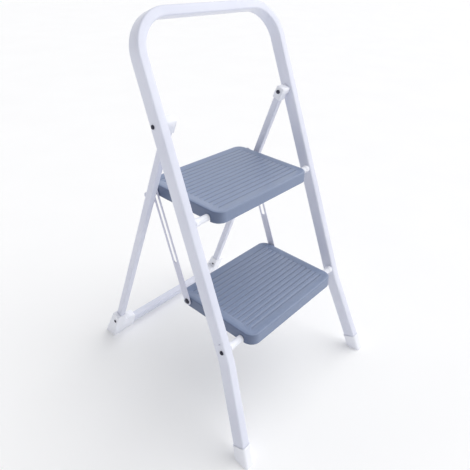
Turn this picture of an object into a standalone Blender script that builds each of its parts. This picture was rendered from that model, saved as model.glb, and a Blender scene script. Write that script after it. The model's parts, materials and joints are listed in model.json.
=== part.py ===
"""A two-step folding step stool: a bent-tube front frame, a hinged rear frame, and two moulded steps
that lift together on slotted link bars as the frames close."""

import math

import bmesh
import bpy
from mathutils import Matrix, Vector

# Overall sizes (metres). X runs across the stool, Y from front to back, Z up.
OVERALL_HEIGHT = 0.850
UPPER_WIDTH = 0.414  # over the upright part of the front frame
FOOT_SPREAD = 0.468  # over the front tube where it reaches the floor
FRONT_LEAN = math.radians(22)
REAR_LEAN = math.radians(20)

# Heights of what hangs on the front frame
HINGE_HEIGHT = 0.6520
HINGE_SETBACK = 0.0052  # hinge bolt behind the front tube's centre line
UPPER_STEP_HEIGHT = 0.4926
LOWER_STEP_HEIGHT = 0.2457
BEND_HEIGHT = 0.202  # where the front legs start to spread
PIVOT_AHEAD = 0.0055  # pivot tubes in front of the front tube's centre line

# Front frame tube
TUBE_WIDTH = 0.020
TUBE_DEPTH = 0.030
TUBE_WALL = 0.0012
TUBE_CORNER = 0.0035
HOOP_BEND_RADIUS = 0.075
LEG_BEND_RADIUS = 0.060
DIMPLE_ABOVE_PIVOT = 0.0155
DIMPLE_DIAMETER = 0.004

# Front foot caps
CAP_WALL = 0.0018
CAP_SOLE = 0.0030
CAP_LENGTH = 0.038

# Pivot tubes, their spacers and fasteners
PIVOT_TUBE_DIAMETER = 0.012
PIVOT_TUBE_WALL = 0.0012
SPACER_LENGTH = 0.0367
SPACER_WALL = 0.00095
SPACER_TAPER = 0.001
COLLAR_PROUD = 0.00125
COLLAR_LENGTH = 0.010
PLUG_LENGTH = 0.015
TUBE_END_GAP = 0.002  # from a pivot tube's end to the outer wall's middle
SCREW_DIAMETER = 0.005
SCREW_HEAD_DIAMETER = 0.0095
SCREW_HEAD_HEIGHT = 0.003
SCREW_END_GAP = 0.002  # from the plug's inner end to the screw's end

# Rear frame
REAR_TUBE_WIDTH = 0.015
REAR_TUBE_DEPTH = 0.017
REAR_TUBE_WALL = 0.0010
REAR_TUBE_CORNER = 0.0025
REAR_LEG_INSET = 0.010  # from the front tube's inner face to the rear leg's outer face, at the hinge
REAR_SPLAY = 0.008  # how far each rear leg moves outwards from the hinge to the floor
REAR_LEG_ABOVE_FLOOR = 0.014
CROSSBAR_HEIGHT = 0.025
CROSSBAR_DEPTH = 0.017
CROSSBAR_ABOVE_FLOOR = 0.0078
CROSSBAR_END_GAP = 0.005  # from the bar's end to the rear leg

# Hinge brackets and bolts
BRACKET_WALL = 0.0012
BRACKET_SLEEVE_WALL = 0.0018
BRACKET_FRONT = 0.0115
BRACKET_BACK = 0.0100
BRACKET_TOP = 0.0125
BRACKET_HEAD_DOWN = 0.005
BRACKET_SLEEVE_DOWN = 0.019
BRACKET_CORNER = 0.004
BRACKET_SLEEVE_CORNER = 0.001
BRACKET_EDGE = 0.0020
LEG_ABOVE_HINGE = 0.009
BOLT_DIAMETER = 0.006
BOLT_HEAD_DIAMETER = 0.0090
BOLT_HEAD_HEIGHT = 0.0026
BOLT_END_DIAMETER = 0.009
BOLT_END_HEIGHT = 0.0040

# Rear corner feet
FOOT_SLEEVE_WALL = 0.0025  # in front of and behind the leg
FOOT_WALL = 0.0090  # outside the leg
FOOT_INNER_WALL = 0.0018
FOOT_HEIGHT = 0.078
FOOT_HEEL = 0.0237  # how far the heel's tip lies behind the leg's line, on the floor
FOOT_HEEL_START = 0.0035  # below the sleeve's top
FOOT_ARM_LENGTH = 0.0355
FOOT_ARM_ABOVE_BAR = 0.0120
FOOT_WEB_ABOVE_BAR = 0.0190
FOOT_WEB_LENGTH = 0.018  # the level part of the web beside the leg
FOOT_SOLE_INSET = 0.001  # of the arm from the sleeve, front and back
FOOT_BACK_ROUND = 0.004
FOOT_TOP_BACK_ROUND = 0.001
FOOT_TOP_FRONT_ROUND = 0.002
FOOT_WEB_ROUND = 0.006
FOOT_ARM_ROUND = 0.003
FOOT_RIVET_HEIGHT = 0.0573
FOOT_RIVET_AHEAD = 0.003  # of the leg's line
FOOT_RIVET_DIAMETER = 0.004
FOOT_RIVET_HEAD = 0.0085
FOOT_RIVET_TAIL = 0.006
FOOT_RIVET_DOME = 0.0018

# Steps: both use one moulding
STEP_SKIRT = 0.025
STEP_WALL = 0.0025
STEP_CORNER = 0.023
STEP_EDGE_ROUND = 0.004
STEP_FRONT_OVERHANG = 0.031  # front edge ahead of the pivot
STEP_BACK_OVERHANG = 0.0128  # back edge behind the support rod's back
PIVOT_BELOW_TOP = 0.0170
RIB_THICKNESS = 0.004
RIB_FROM_SIDE = 0.009
CROSS_RIB_SHARE = 0.6  # of a long rib's height
NOTCH_PAST_WALL = 0.0015
TREAD_BORDER = 0.023
TREAD_RIBS = 13
GROOVE_WIDTH = 0.0024
GROOVE_DEPTH = 0.0008

# Link bars and their pins
LINK_REACH = 0.1603  # link pin behind the step's pivot
LINK_PIN_BELOW_TOP = 0.0107
LINK_WIDTH = 0.020
LINK_THICKNESS = 0.002
LINK_SIDE_GAP = 0.0012
SLOT_WIDTH = 0.010
SLOT_START = 0.094  # from the lower pin to the slot's lower end
LINK_PIN_DIAMETER = 0.005
LINK_PIN_HEAD = 0.014
LINK_PIN_HEAD_HEIGHT = 0.0022
LINK_PIN_FLANGE = 0.002  # proud of the shank, inside the step
LINK_PIN_FLANGE_TAPER = 0.0005
LINK_PIN_FLANGE_THICKNESS = 0.0012
LINK_PIN_HOLE_REACH = 0.006  # inwards from the step's side

# Support rod under the upper step's back edge, its tabs and the hooks behind it
ROD_DIAMETER = 0.007
ROD_LINK_CLEARANCE = 0.0050
TAB_THICKNESS = 0.002
TAB_RADIUS = 0.0068
TAB_GAP = 0.0006
TAB_DROP = 0.004  # from the tab's end on the leg down to the rod
HOOK_WIDTH = 0.014
HOOK_THICKNESS = 0.0038
HOOK_PAD_THICKNESS = 0.0045
HOOK_DROP = 0.0135
HOOK_ROD_GAP = 0.001
HOOK_FROM_SIDE = 0.033
HOOK_SCREW_DIAMETER = 0.0026
HOOK_SCREW_HEAD = 0.0050
HOOK_SCREW_HEAD_HEIGHT = 0.0016
HOOK_SCREW_ABOVE_PAD = 0.007
HOOK_SCREW_TIP = 0.001
HOOK_ROUND = 0.001
HOOK_TIP_RISE = 0.002
BOSS_DIAMETER = 0.0064
BOSS_PILOT_DEPTH = 0.009

GAP = 0.0003  # between pieces that touch
PAST = 0.02  # how far a cutter reaches beyond what it cuts
FLOOR_SLAB = (2.0, 2.0, 0.2)
WELD = 0.000001
ROUND_STEPS = 20
SMALL_STEPS = 12
DOME = ((0, 1), (0.6, 0.9), (0.9, 0.5), (1, 0))  # shares of a head's radius and height, from its top

# Sizes and places worked out from the sizes above
SPACER_DIAMETER = PIVOT_TUBE_DIAMETER + 2 * (GAP + SPACER_WALL)
COLLAR_DIAMETER = SPACER_DIAMETER + 2 * COLLAR_PROUD
SIDES = {"left": -1, "right": 1}
HOOP_INNER_X = UPPER_WIDTH / 2 - TUBE_WIDTH
STEP_HALF_WIDTH = HOOP_INNER_X - GAP - SPACER_LENGTH - GAP
SPREAD_SLOPE = (FOOT_SPREAD - UPPER_WIDTH) / 2 / (BEND_HEIGHT / math.cos(FRONT_LEAN))
HINGE_UP = (HINGE_HEIGHT + HINGE_SETBACK * math.sin(FRONT_LEAN)) / math.cos(FRONT_LEAN)
HINGE_BACK = HINGE_UP * math.sin(FRONT_LEAN) + HINGE_SETBACK * math.cos(FRONT_LEAN)
REAR_LEG_LENGTH = HINGE_HEIGHT / math.cos(REAR_LEAN)
REAR_SPLAY_ANGLE = math.atan2(REAR_SPLAY, REAR_LEG_LENGTH)
REAR_LEG_X = HOOP_INNER_X - REAR_LEG_INSET - REAR_TUBE_WIDTH / 2
BRACKET_OUTER_X = HOOP_INNER_X - GAP
BRACKET_INNER_X = REAR_LEG_X - REAR_TUBE_WIDTH / 2 - BRACKET_WALL
LINK_INNER_X = STEP_HALF_WIDTH + LINK_SIDE_GAP
LINK_OUTER_X = LINK_INNER_X + LINK_THICKNESS

CAP_HALF_DEPTH = (TUBE_DEPTH / 2 + GAP + CAP_WALL) / math.cos(FRONT_LEAN)
FOOT_HALF_DEPTH = REAR_TUBE_DEPTH / 2 + FOOT_SLEEVE_WALL
FOOT_BACK = HINGE_BACK + HINGE_HEIGHT * math.tan(REAR_LEAN) + FOOT_HEEL
FRONT_FOOT_Y = -(FOOT_BACK - CAP_HALF_DEPTH) / 2  # puts the origin at the middle of the footprint


def on_front_frame(height, ahead):
    """(y, z) of a point at this height, this far ahead of the front tube's centre line."""
    up = (height - ahead * math.sin(FRONT_LEAN)) / math.cos(FRONT_LEAN)
    return FRONT_FOOT_Y + up * math.sin(FRONT_LEAN) - ahead * math.cos(FRONT_LEAN), height


HINGE_Y, HINGE_Z = on_front_frame(HINGE_HEIGHT, -HINGE_SETBACK)
UPPER_PIVOT_Y, UPPER_PIVOT_Z = on_front_frame(UPPER_STEP_HEIGHT - PIVOT_BELOW_TOP, PIVOT_AHEAD)
LOWER_PIVOT_Y, LOWER_PIVOT_Z = on_front_frame(LOWER_STEP_HEIGHT - PIVOT_BELOW_TOP, PIVOT_AHEAD)
LINK_RISE = PIVOT_BELOW_TOP - LINK_PIN_BELOW_TOP
LINK_LENGTH = math.hypot(UPPER_PIVOT_Y - LOWER_PIVOT_Y, UPPER_PIVOT_Z - LOWER_PIVOT_Z)
LINK_LEAN = math.atan2(UPPER_PIVOT_Y - LOWER_PIVOT_Y, UPPER_PIVOT_Z - LOWER_PIVOT_Z)

# The support rod lies just under the upper step's skirt and just behind the link bars.
ROD_Z = UPPER_STEP_HEIGHT - STEP_SKIRT - GAP - ROD_DIAMETER / 2
LINK_TOP_Y = UPPER_PIVOT_Y + LINK_REACH
LINK_TOP_Z = UPPER_PIVOT_Z + LINK_RISE
LINK_Y_AT_ROD = LINK_TOP_Y - (LINK_TOP_Z - ROD_Z) * math.tan(LINK_LEAN)
ROD_Y = LINK_Y_AT_ROD + (LINK_WIDTH / 2 + ROD_DIAMETER / 2 + ROD_LINK_CLEARANCE) / math.cos(LINK_LEAN)
STEP_DEPTH = STEP_FRONT_OVERHANG + (ROD_Y - UPPER_PIVOT_Y) + ROD_DIAMETER / 2 + STEP_BACK_OVERHANG
STEP_MIDDLE = STEP_DEPTH / 2 - STEP_FRONT_OVERHANG  # step's centre behind its pivot

ALONG_X = (0, math.pi / 2, 0)
SIDE_VIEW = (math.pi / 2, 0, math.pi / 2)  # turns a flat outline's x, y into the stool's y, z
FRONT_VIEW = (math.pi / 2, 0, 0)  # turns a flat outline's x, y into the stool's x, z


def clear_scene():
    for obj in list(bpy.data.objects):
        bpy.data.objects.remove(obj, do_unlink=True)


def add_collection(name):
    made = bpy.data.collections.new(name)
    bpy.context.scene.collection.children.link(made)
    return made


def add_material(name, colour, roughness, metallic=0.0):
    made = bpy.data.materials.new(name)
    made.use_nodes = True
    shader = made.node_tree.nodes["Principled BSDF"]
    shader.inputs["Base Color"].default_value = (*colour, 1.0)
    shader.inputs["Roughness"].default_value = roughness
    shader.inputs["Metallic"].default_value = metallic
    made.diffuse_color = (*colour, 1.0)
    return made


clear_scene()
PARTS = add_collection("step_stool")
CUTTERS = add_collection("cutters")
PAINT = add_material("white_paint", (0.80, 0.81, 0.86), 0.35)
WHITE_PLASTIC = add_material("white_plastic", (0.85, 0.86, 0.88), 0.45)
STEP_PLASTIC = add_material("grey_blue_plastic", (0.20, 0.23, 0.34), 0.45)
PLATED_STEEL = add_material("plated_steel", (0.55, 0.56, 0.60), 0.35, 1.0)
DARK_STEEL = add_material("dark_steel", (0.03, 0.03, 0.05), 0.40, 1.0)


def add_axis(name, y, z, lean=0.0, x=0.0):
    """An empty on a joint's axis, with its own Z leaning back by this angle."""
    made = bpy.data.objects.new(name, None)
    made.empty_display_size = 0.03
    made.location = (x, y, z)
    made.rotation_euler = (-lean, 0, 0)
    PARTS.objects.link(made)
    return made


def place(obj, axis, location=(0, 0, 0), rotation=(0, 0, 0)):
    obj.parent = axis
    obj.location = location
    obj.rotation_euler = rotation
    return obj


def as_part(obj, material):
    PARTS.objects.link(obj)
    obj.data.materials.clear()
    obj.data.materials.append(material)
    obj.data.shade_smooth()
    obj.data.set_sharp_from_angle(angle=math.radians(35))
    return obj


def as_cutter(obj):
    CUTTERS.objects.link(obj)
    obj.hide_render = True
    obj.display_type = "WIRE"
    return obj


def add_boolean(obj, other, operation="DIFFERENCE"):
    modifier = obj.modifiers.new(f"{operation.lower()}_{other.name}", "BOOLEAN")
    modifier.operation = operation
    modifier.solver = "EXACT"
    modifier.object = other


def box(name, size, radius=0.0, along="xyz", segments=3):
    """A box centred on its origin; edges that run along the named axes are rounded."""
    mesh = bpy.data.meshes.new(name)
    bm = bmesh.new()
    bmesh.ops.create_cube(bm, size=1.0)
    bmesh.ops.scale(bm, vec=size, verts=bm.verts)
    if radius:
        def runs_along(edge):
            steps = [abs(a - b) for a, b in zip(edge.verts[0].co, edge.verts[1].co)]
            return "xyz"[steps.index(max(steps))] in along
        edges = [edge for edge in bm.edges if runs_along(edge)]
        bmesh.ops.bevel(bm, geom=edges, offset=radius, segments=segments, profile=0.5, affect="EDGES")
    bm.to_mesh(mesh)
    bm.free()
    return bpy.data.objects.new(name, mesh)


def bevel_edges(obj, radius):
    """Rounds the edges where a plate's flat faces meet its sides."""
    bm = bmesh.new()
    bm.from_mesh(obj.data)
    edges = [edge for edge in bm.edges if edge.calc_face_angle(0) > math.radians(80)]
    bmesh.ops.bevel(bm, geom=edges, offset=radius, segments=2, profile=0.5, affect="EDGES")
    bm.to_mesh(obj.data)
    bm.free()


def cylinder(name, diameter, length, steps=ROUND_STEPS):
    """A solid cylinder centred on its origin, along local Z."""
    mesh = bpy.data.meshes.new(name)
    bm = bmesh.new()
    bmesh.ops.create_cone(
        bm, cap_ends=True, segments=steps, radius1=diameter / 2, radius2=diameter / 2, depth=length
    )
    bm.to_mesh(mesh)
    bm.free()
    return bpy.data.objects.new(name, mesh)


def turned(name, profile, hollow=False, steps=ROUND_STEPS):
    """A profile of (radius, height) points, listed from top to bottom, turned about local Z."""
    mesh = bpy.data.meshes.new(name)
    edges = [(i, i + 1) for i in range(len(profile) - 1)]
    if hollow:
        edges.append((len(profile) - 1, 0))
    mesh.from_pydata([(radius, 0, height) for radius, height in profile], edges, [])
    obj = bpy.data.objects.new(name, mesh)
    screw = obj.modifiers.new("turn", "SCREW")
    screw.axis = "Z"
    screw.steps = steps
    screw.render_steps = steps
    screw.use_merge_vertices = True
    screw.merge_threshold = WELD
    screw.use_smooth_shade = True
    return obj


def dome(radius, face, height):
    """The top of a domed head that sits on this face."""
    return [(radius * across, face + height * up) for across, up in DOME]


def ring_profile(outer_radius, inner_radius, low, high):
    return [(outer_radius, high), (outer_radius, low), (inner_radius, low), (inner_radius, high)]


def rounded(corners, closed=True, steps=4):
    """The points of a polygon or an open path whose corners are (x, y, fillet radius)."""
    points = []
    last = len(corners) - 1
    for i, (x, y, radius) in enumerate(corners):
        corner = Vector((x, y))
        if not radius or (not closed and i in (0, last)):
            points.append(corner)
            continue
        before = (Vector(corners[i - 1][:2]) - corner).normalized()
        after = (Vector(corners[(i + 1) % len(corners)][:2]) - corner).normalized()
        half = before.angle(after) / 2
        centre = corner + (before + after).normalized() * (radius / math.sin(half))
        start = corner + before * (radius / math.tan(half)) - centre
        turn = (math.pi - 2 * half) * math.copysign(1, before.cross(after) * -1)
        for k in range(steps + 1):
            points.append(centre + Matrix.Rotation(turn * k / steps, 2) @ start)
    return points


def rectangle(width, height, radius=0.0):
    x, y = width / 2, height / 2
    return [(x, -y, radius), (x, y, radius), (-x, y, radius), (-x, -y, radius)]


def add_spline(curve, points, closed):
    spline = curve.splines.new("POLY")
    spline.points.add(len(points) - 1)
    for slot, point in zip(spline.points, points):
        slot.co = (point[0], point[1], 0, 1)
    spline.use_cyclic_u = closed


def mesh_of(curve_object):
    """The curve object's shape as a welded mesh object; the curve is removed."""
    bpy.context.scene.collection.objects.link(curve_object)
    bpy.context.view_layer.update()
    graph = bpy.context.evaluated_depsgraph_get()
    mesh = bpy.data.meshes.new_from_object(curve_object.evaluated_get(graph))
    bm = bmesh.new()
    bm.from_mesh(mesh)
    bmesh.ops.remove_doubles(bm, verts=bm.verts, dist=WELD)
    bm.to_mesh(mesh)
    bm.free()
    name = curve_object.name
    place_there = curve_object.matrix_world.copy()
    bpy.data.objects.remove(curve_object, do_unlink=True)
    made = bpy.data.objects.new(name, mesh)
    made.matrix_world = place_there
    return made


def plate(name, outlines, thickness):
    """Flat outlines (the first is the edge, the others are holes), centred on local Z = 0."""
    curve = bpy.data.curves.new(name, "CURVE")
    curve.dimensions = "2D"
    curve.fill_mode = "BOTH"
    curve.extrude = thickness / 2
    for outline in outlines:
        add_spline(curve, outline, closed=True)
    return mesh_of(bpy.data.objects.new(name, curve))


def swept_tube(name, path, width, depth, corner):
    """An open tube skin along a flat path; width lies in the path's plane."""
    section = bpy.data.curves.new(f"{name}_section", "CURVE")
    section.dimensions = "2D"
    section.fill_mode = "NONE"
    outline = rounded(rectangle(width, depth, corner), steps=2)
    outline.reverse()  # so that the skin faces outwards
    add_spline(section, outline, closed=True)
    section_object = bpy.data.objects.new(section.name, section)
    curve = bpy.data.curves.new(name, "CURVE")
    curve.dimensions = "2D"
    curve.fill_mode = "NONE"
    curve.bevel_mode = "OBJECT"
    curve.bevel_object = section_object
    add_spline(curve, path, closed=False)
    made = mesh_of(bpy.data.objects.new(name, curve))
    bpy.data.objects.remove(section_object, do_unlink=True)
    return made


def circle(x, y, diameter, steps=20):
    angles = [2 * math.pi * k / steps for k in range(steps)]
    return [Vector((x + diameter / 2 * math.cos(a), y + diameter / 2 * math.sin(a))) for a in angles]


def slot_outline(y_low, y_high, width, steps=8):
    """A straight slot along local Y whose end circles are centred on y_low and y_high."""
    top = [math.pi * k / steps for k in range(steps + 1)]
    upper = [Vector((width / 2 * math.cos(a), y_high + width / 2 * math.sin(a))) for a in top]
    lower = [Vector((-width / 2 * math.cos(a), y_low - width / 2 * math.sin(a))) for a in top]
    return upper + lower


def below_floor(name, level):
    """A slab that takes away all that is below this height."""
    slab = as_cutter(box(name, FLOOR_SLAB))
    slab.location.z = level - FLOOR_SLAB[2] / 2
    return slab


FRONT_AXIS = add_axis("front_frame_axis", FRONT_FOOT_Y, 0, lean=FRONT_LEAN)
REAR_AXIS = add_axis("rear_frame_axis", HINGE_Y, HINGE_Z, lean=-REAR_LEAN)
UPPER_STEP_AXIS = add_axis("upper_step_axis", UPPER_PIVOT_Y, UPPER_PIVOT_Z)
LOWER_STEP_AXIS = add_axis("lower_step_axis", LOWER_PIVOT_Y, LOWER_PIVOT_Z)
HINGE_AXIS = add_axis("hinge_axis", HINGE_Y, HINGE_Z)


def pivot_cutter(name, diameter, x_from, x_to, y, z):
    """A round cutter along X between two places across the stool."""
    cutter = as_cutter(cylinder(name, diameter, abs(x_to - x_from)))
    cutter.location = ((x_from + x_to) / 2, y, z)
    cutter.rotation_euler = ALONG_X
    return cutter


def hoop_path():
    """Half the hoop is listed from its foot to the top, then repeated the other way round."""
    leg_x = UPPER_WIDTH / 2 - TUBE_WIDTH / 2
    bend = BEND_HEIGHT / math.cos(FRONT_LEAN)
    highest = (OVERALL_HEIGHT - TUBE_CORNER) - (TUBE_DEPTH / 2 - TUBE_CORNER) * math.sin(FRONT_LEAN)
    top = highest / math.cos(FRONT_LEAN) + TUBE_CORNER - TUBE_WIDTH / 2
    foot = (leg_x + (bend + PAST) * SPREAD_SLOPE, -PAST, 0)
    half = [foot, (leg_x, bend, LEG_BEND_RADIUS), (leg_x, top, HOOP_BEND_RADIUS)]
    return half + [(-x, up, radius) for x, up, radius in reversed(half)]


def front_hoop():
    path = rounded(hoop_path(), closed=False, steps=6)
    hoop = as_part(swept_tube("front_hoop", path, TUBE_WIDTH, TUBE_DEPTH, TUBE_CORNER), PAINT)
    place(hoop, FRONT_AXIS, rotation=FRONT_VIEW)
    wall = hoop.modifiers.new("wall", "SOLIDIFY")
    wall.thickness = TUBE_WALL
    wall.offset = -1
    wall.use_even_offset = True
    add_boolean(hoop, below_floor("hoop_floor_cut", CAP_SOLE + GAP))
    middle = UPPER_WIDTH / 2 - TUBE_WIDTH / 2
    outside = UPPER_WIDTH / 2 + TUBE_CORNER
    inside = HOOP_INNER_X - TUBE_CORNER
    tube_hole = PIVOT_TUBE_DIAMETER + 2 * GAP
    dimple_y, dimple_z = on_front_frame(LOWER_PIVOT_Z + DIMPLE_ABOVE_PIVOT, PIVOT_AHEAD)
    for side, sign in SIDES.items():
        holes = {
            "hinge_bolt": (BOLT_DIAMETER + 2 * GAP, inside, outside, HINGE_Y, HINGE_Z),
            "upper_tube": (tube_hole, inside, middle, UPPER_PIVOT_Y, UPPER_PIVOT_Z),
            "lower_tube": (tube_hole, inside, middle, LOWER_PIVOT_Y, LOWER_PIVOT_Z),
            "lower_screw": (SCREW_DIAMETER + 2 * GAP, middle, outside, LOWER_PIVOT_Y, LOWER_PIVOT_Z),
            "dimple": (DIMPLE_DIAMETER, middle, outside, dimple_y, dimple_z),
        }
        for hole, (diameter, x_from, x_to, y, z) in holes.items():
            name = f"{side}_{hole}_hole"
            add_boolean(hoop, pivot_cutter(name, diameter, sign * x_from, sign * x_to, y, z))


def front_foot(side, sign):
    """A sleeve over the end of the leg, in line with it and cut flat on the floor."""
    slope = math.atan(SPREAD_SLOPE)
    bend = BEND_HEIGHT / math.cos(FRONT_LEAN)
    floor_x = UPPER_WIDTH / 2 - TUBE_WIDTH / 2 + bend * SPREAD_SLOPE
    length = CAP_LENGTH + PAST
    middle = CAP_LENGTH - length / 2
    centre = (sign * (floor_x - middle * SPREAD_SLOPE), 0, middle)
    turn = (0, -sign * slope, 0)
    inner = (TUBE_WIDTH + 2 * GAP, TUBE_DEPTH + 2 * GAP)
    outer = (inner[0] + 2 * CAP_WALL, inner[1] + 2 * CAP_WALL)
    corner = TUBE_CORNER + CAP_WALL
    cap = as_part(box(f"front_foot_{side}", (*outer, length), corner, "z", 4), WHITE_PLASTIC)
    place(cap, FRONT_AXIS, centre, turn)
    socket = as_cutter(box(f"{side}_cap_socket", (*inner, 2 * length), TUBE_CORNER, "z", 4))
    place(socket, FRONT_AXIS, centre, turn)
    add_boolean(socket, below_floor(f"{side}_sole_level", CAP_SOLE))
    add_boolean(cap, socket)
    add_boolean(cap, below_floor(f"{side}_cap_floor_cut", 0))


def pivot_tube(name, axis_y, axis_z):
    half = UPPER_WIDTH / 2 - TUBE_WIDTH / 2 - TUBE_END_GAP
    outer = PIVOT_TUBE_DIAMETER / 2
    tube = turned(name, ring_profile(outer, outer - PIVOT_TUBE_WALL, -half, half), hollow=True)
    place(as_part(tube, PAINT), None, (0, axis_y, axis_z), ALONG_X)
    return half


def spacer(name, sign, axis_y, axis_z):
    bore = PIVOT_TUBE_DIAMETER / 2 + GAP
    profile = [
        (COLLAR_DIAMETER / 2, SPACER_LENGTH),
        (COLLAR_DIAMETER / 2, SPACER_LENGTH - COLLAR_LENGTH),
        (SPACER_DIAMETER / 2, SPACER_LENGTH - COLLAR_LENGTH - SPACER_TAPER),
        (SPACER_DIAMETER / 2, 0),
        (bore, 0),
        (bore, SPACER_LENGTH),
    ]
    sleeve = as_part(turned(name, profile, hollow=True), WHITE_PLASTIC)
    inner_end = STEP_HALF_WIDTH + GAP
    place(sleeve, None, (sign * inner_end, axis_y, axis_z), (0, sign * math.pi / 2, 0))


def tube_fixing(side, sign, tube_end):
    """A threaded plug in the lower tube's end, and the screw that holds it to the leg."""
    plug_radius = PIVOT_TUBE_DIAMETER / 2 - PIVOT_TUBE_WALL - GAP
    screw_radius = SCREW_DIAMETER / 2
    plug = turned(
        f"lower_tube_plug_{side}",
        ring_profile(plug_radius, screw_radius + GAP, tube_end - PLUG_LENGTH, tube_end),
        hollow=True,
    )
    turn = (0, sign * math.pi / 2, 0)
    centre = (0, LOWER_PIVOT_Y, LOWER_PIVOT_Z)
    place(as_part(plug, PLATED_STEEL), None, centre, turn)
    face = UPPER_WIDTH / 2 + GAP
    screw_end = tube_end - PLUG_LENGTH + SCREW_END_GAP
    profile = dome(SCREW_HEAD_DIAMETER / 2, face, SCREW_HEAD_HEIGHT)
    profile += [(screw_radius, face), (screw_radius, screw_end), (0, screw_end)]
    screw = turned(f"lower_tube_screw_{side}", profile)
    place(as_part(screw, DARK_STEEL), None, centre, turn)


def hinge_bolt(side, sign):
    face = UPPER_WIDTH / 2 + GAP
    end = BRACKET_INNER_X - GAP
    profile = dome(BOLT_HEAD_DIAMETER / 2, face, BOLT_HEAD_HEIGHT)
    profile += [(BOLT_DIAMETER / 2, face), (BOLT_DIAMETER / 2, end)]
    profile += reversed(dome(BOLT_END_DIAMETER / 2, end, -BOLT_END_HEIGHT))
    bolt = as_part(turned(f"hinge_bolt_{side}", profile), DARK_STEEL)
    place(bolt, HINGE_AXIS, (0, 0, 0), (0, sign * math.pi / 2, 0))


def rear_leg_shape(name, sign, grow, top, bottom):
    """A bar along a rear leg's line, from top to bottom along the rear frame's own Z."""
    size = (REAR_TUBE_WIDTH + 2 * grow, REAR_TUBE_DEPTH + 2 * grow, top - bottom)
    shape = box(name, size, REAR_TUBE_CORNER + grow, "z", 3)
    middle = (top + bottom) / 2
    centre = (sign * (REAR_LEG_X - middle * math.tan(REAR_SPLAY_ANGLE)), 0, middle)
    return place(shape, REAR_AXIS, centre, (0, -sign * REAR_SPLAY_ANGLE, 0))


def rear_leg(side, sign):
    bottom = -REAR_LEG_LENGTH + REAR_LEG_ABOVE_FLOOR
    leg = as_part(rear_leg_shape(f"rear_leg_{side}", sign, 0, LEG_ABOVE_HINGE, bottom), PAINT)
    hollow = rear_leg_shape(
        f"{side}_leg_hollow", sign, -REAR_TUBE_WALL, LEG_ABOVE_HINGE + PAST, bottom - PAST
    )
    add_boolean(leg, as_cutter(hollow))
    reach = REAR_LEG_X + REAR_TUBE_WIDTH
    bore = BOLT_DIAMETER + 2 * GAP
    bolt_hole = pivot_cutter(f"{side}_leg_bolt_hole", bore, 0, sign * reach, HINGE_Y, HINGE_Z)
    add_boolean(leg, bolt_hole)
    rivet_y, rivet_z = foot_rivet_place()
    hole = FOOT_RIVET_DIAMETER + 2 * GAP
    rivet_hole = pivot_cutter(f"{side}_leg_rivet_hole", hole, 0, sign * 2 * reach, rivet_y, rivet_z)
    add_boolean(leg, rivet_hole)


def foot_rivet_place():
    """(y, z) of the rivet through a rear foot, a little ahead of the leg's line."""
    leg_y = HINGE_Y + (HINGE_Z - FOOT_RIVET_HEIGHT) * math.tan(REAR_LEAN)
    return leg_y - FOOT_RIVET_AHEAD / math.cos(REAR_LEAN), FOOT_RIVET_HEIGHT


def hinge_bracket(side, sign):
    """A moulded block round the rear leg's top, turning on the hinge bolt beside the front leg."""
    sleeve = REAR_TUBE_DEPTH / 2 + BRACKET_SLEEVE_WALL
    head_outline = [
        (-BRACKET_FRONT, -BRACKET_HEAD_DOWN, BRACKET_CORNER),
        (-BRACKET_FRONT, BRACKET_TOP, BRACKET_CORNER),
        (BRACKET_BACK, BRACKET_TOP, BRACKET_CORNER),
        (BRACKET_BACK, -BRACKET_HEAD_DOWN, BRACKET_CORNER),
    ]
    thickness = BRACKET_OUTER_X - BRACKET_INNER_X
    head = plate(f"hinge_bracket_{side}", [rounded(head_outline, steps=3)], thickness)
    bevel_edges(head, BRACKET_EDGE)
    bracket = as_part(head, WHITE_PLASTIC)
    place(bracket, REAR_AXIS, (sign * (BRACKET_INNER_X + thickness / 2), 0, 0), SIDE_VIEW)
    sleeve_outline = rectangle(2 * sleeve, BRACKET_SLEEVE_DOWN, BRACKET_SLEEVE_CORNER)
    sleeve_inner_x = BRACKET_INNER_X + GAP
    sleeve_width = REAR_LEG_X + REAR_TUBE_WIDTH / 2 + BRACKET_SLEEVE_WALL - sleeve_inner_x
    neck = as_cutter(plate(f"{side}_bracket_sleeve", [rounded(sleeve_outline, steps=2)], sleeve_width))
    neck_x = sleeve_inner_x + sleeve_width / 2
    place(neck, REAR_AXIS, (sign * neck_x, 0, -BRACKET_SLEEVE_DOWN / 2), SIDE_VIEW)
    add_boolean(bracket, neck, "UNION")
    socket_top = LEG_ABOVE_HINGE + GAP
    socket = rear_leg_shape(f"{side}_bracket_socket", sign, GAP, socket_top, -2 * BRACKET_SLEEVE_DOWN)
    add_boolean(bracket, as_cutter(socket))
    bore = pivot_cutter(
        f"{side}_bracket_bore", BOLT_DIAMETER + 2 * GAP, 0, sign * UPPER_WIDTH / 2, HINGE_Y, HINGE_Z
    )
    add_boolean(bracket, bore)


def crossbar_place():
    """Half length of the crossbar, and its centre along the rear frame's own Z."""
    leg_inner_at_floor = REAR_LEG_X + REAR_SPLAY - REAR_TUBE_WIDTH / 2
    half = leg_inner_at_floor - CROSSBAR_END_GAP
    centre_height = CROSSBAR_ABOVE_FLOOR + CROSSBAR_HEIGHT / 2
    return half, (centre_height - HINGE_Z) / math.cos(REAR_LEAN)


def crossbar_shape(name, grow, half):
    size = (2 * half, CROSSBAR_DEPTH + 2 * grow, CROSSBAR_HEIGHT + 2 * grow)
    shape = box(name, size, REAR_TUBE_CORNER + grow, "x", 3)
    return place(shape, REAR_AXIS, (0, 0, crossbar_place()[1]))


def rear_crossbar():
    half = crossbar_place()[0]
    bar = as_part(crossbar_shape("rear_crossbar", 0, half), PAINT)
    add_boolean(bar, as_cutter(crossbar_shape("crossbar_hollow", -REAR_TUBE_WALL, half + PAST)))


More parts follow.
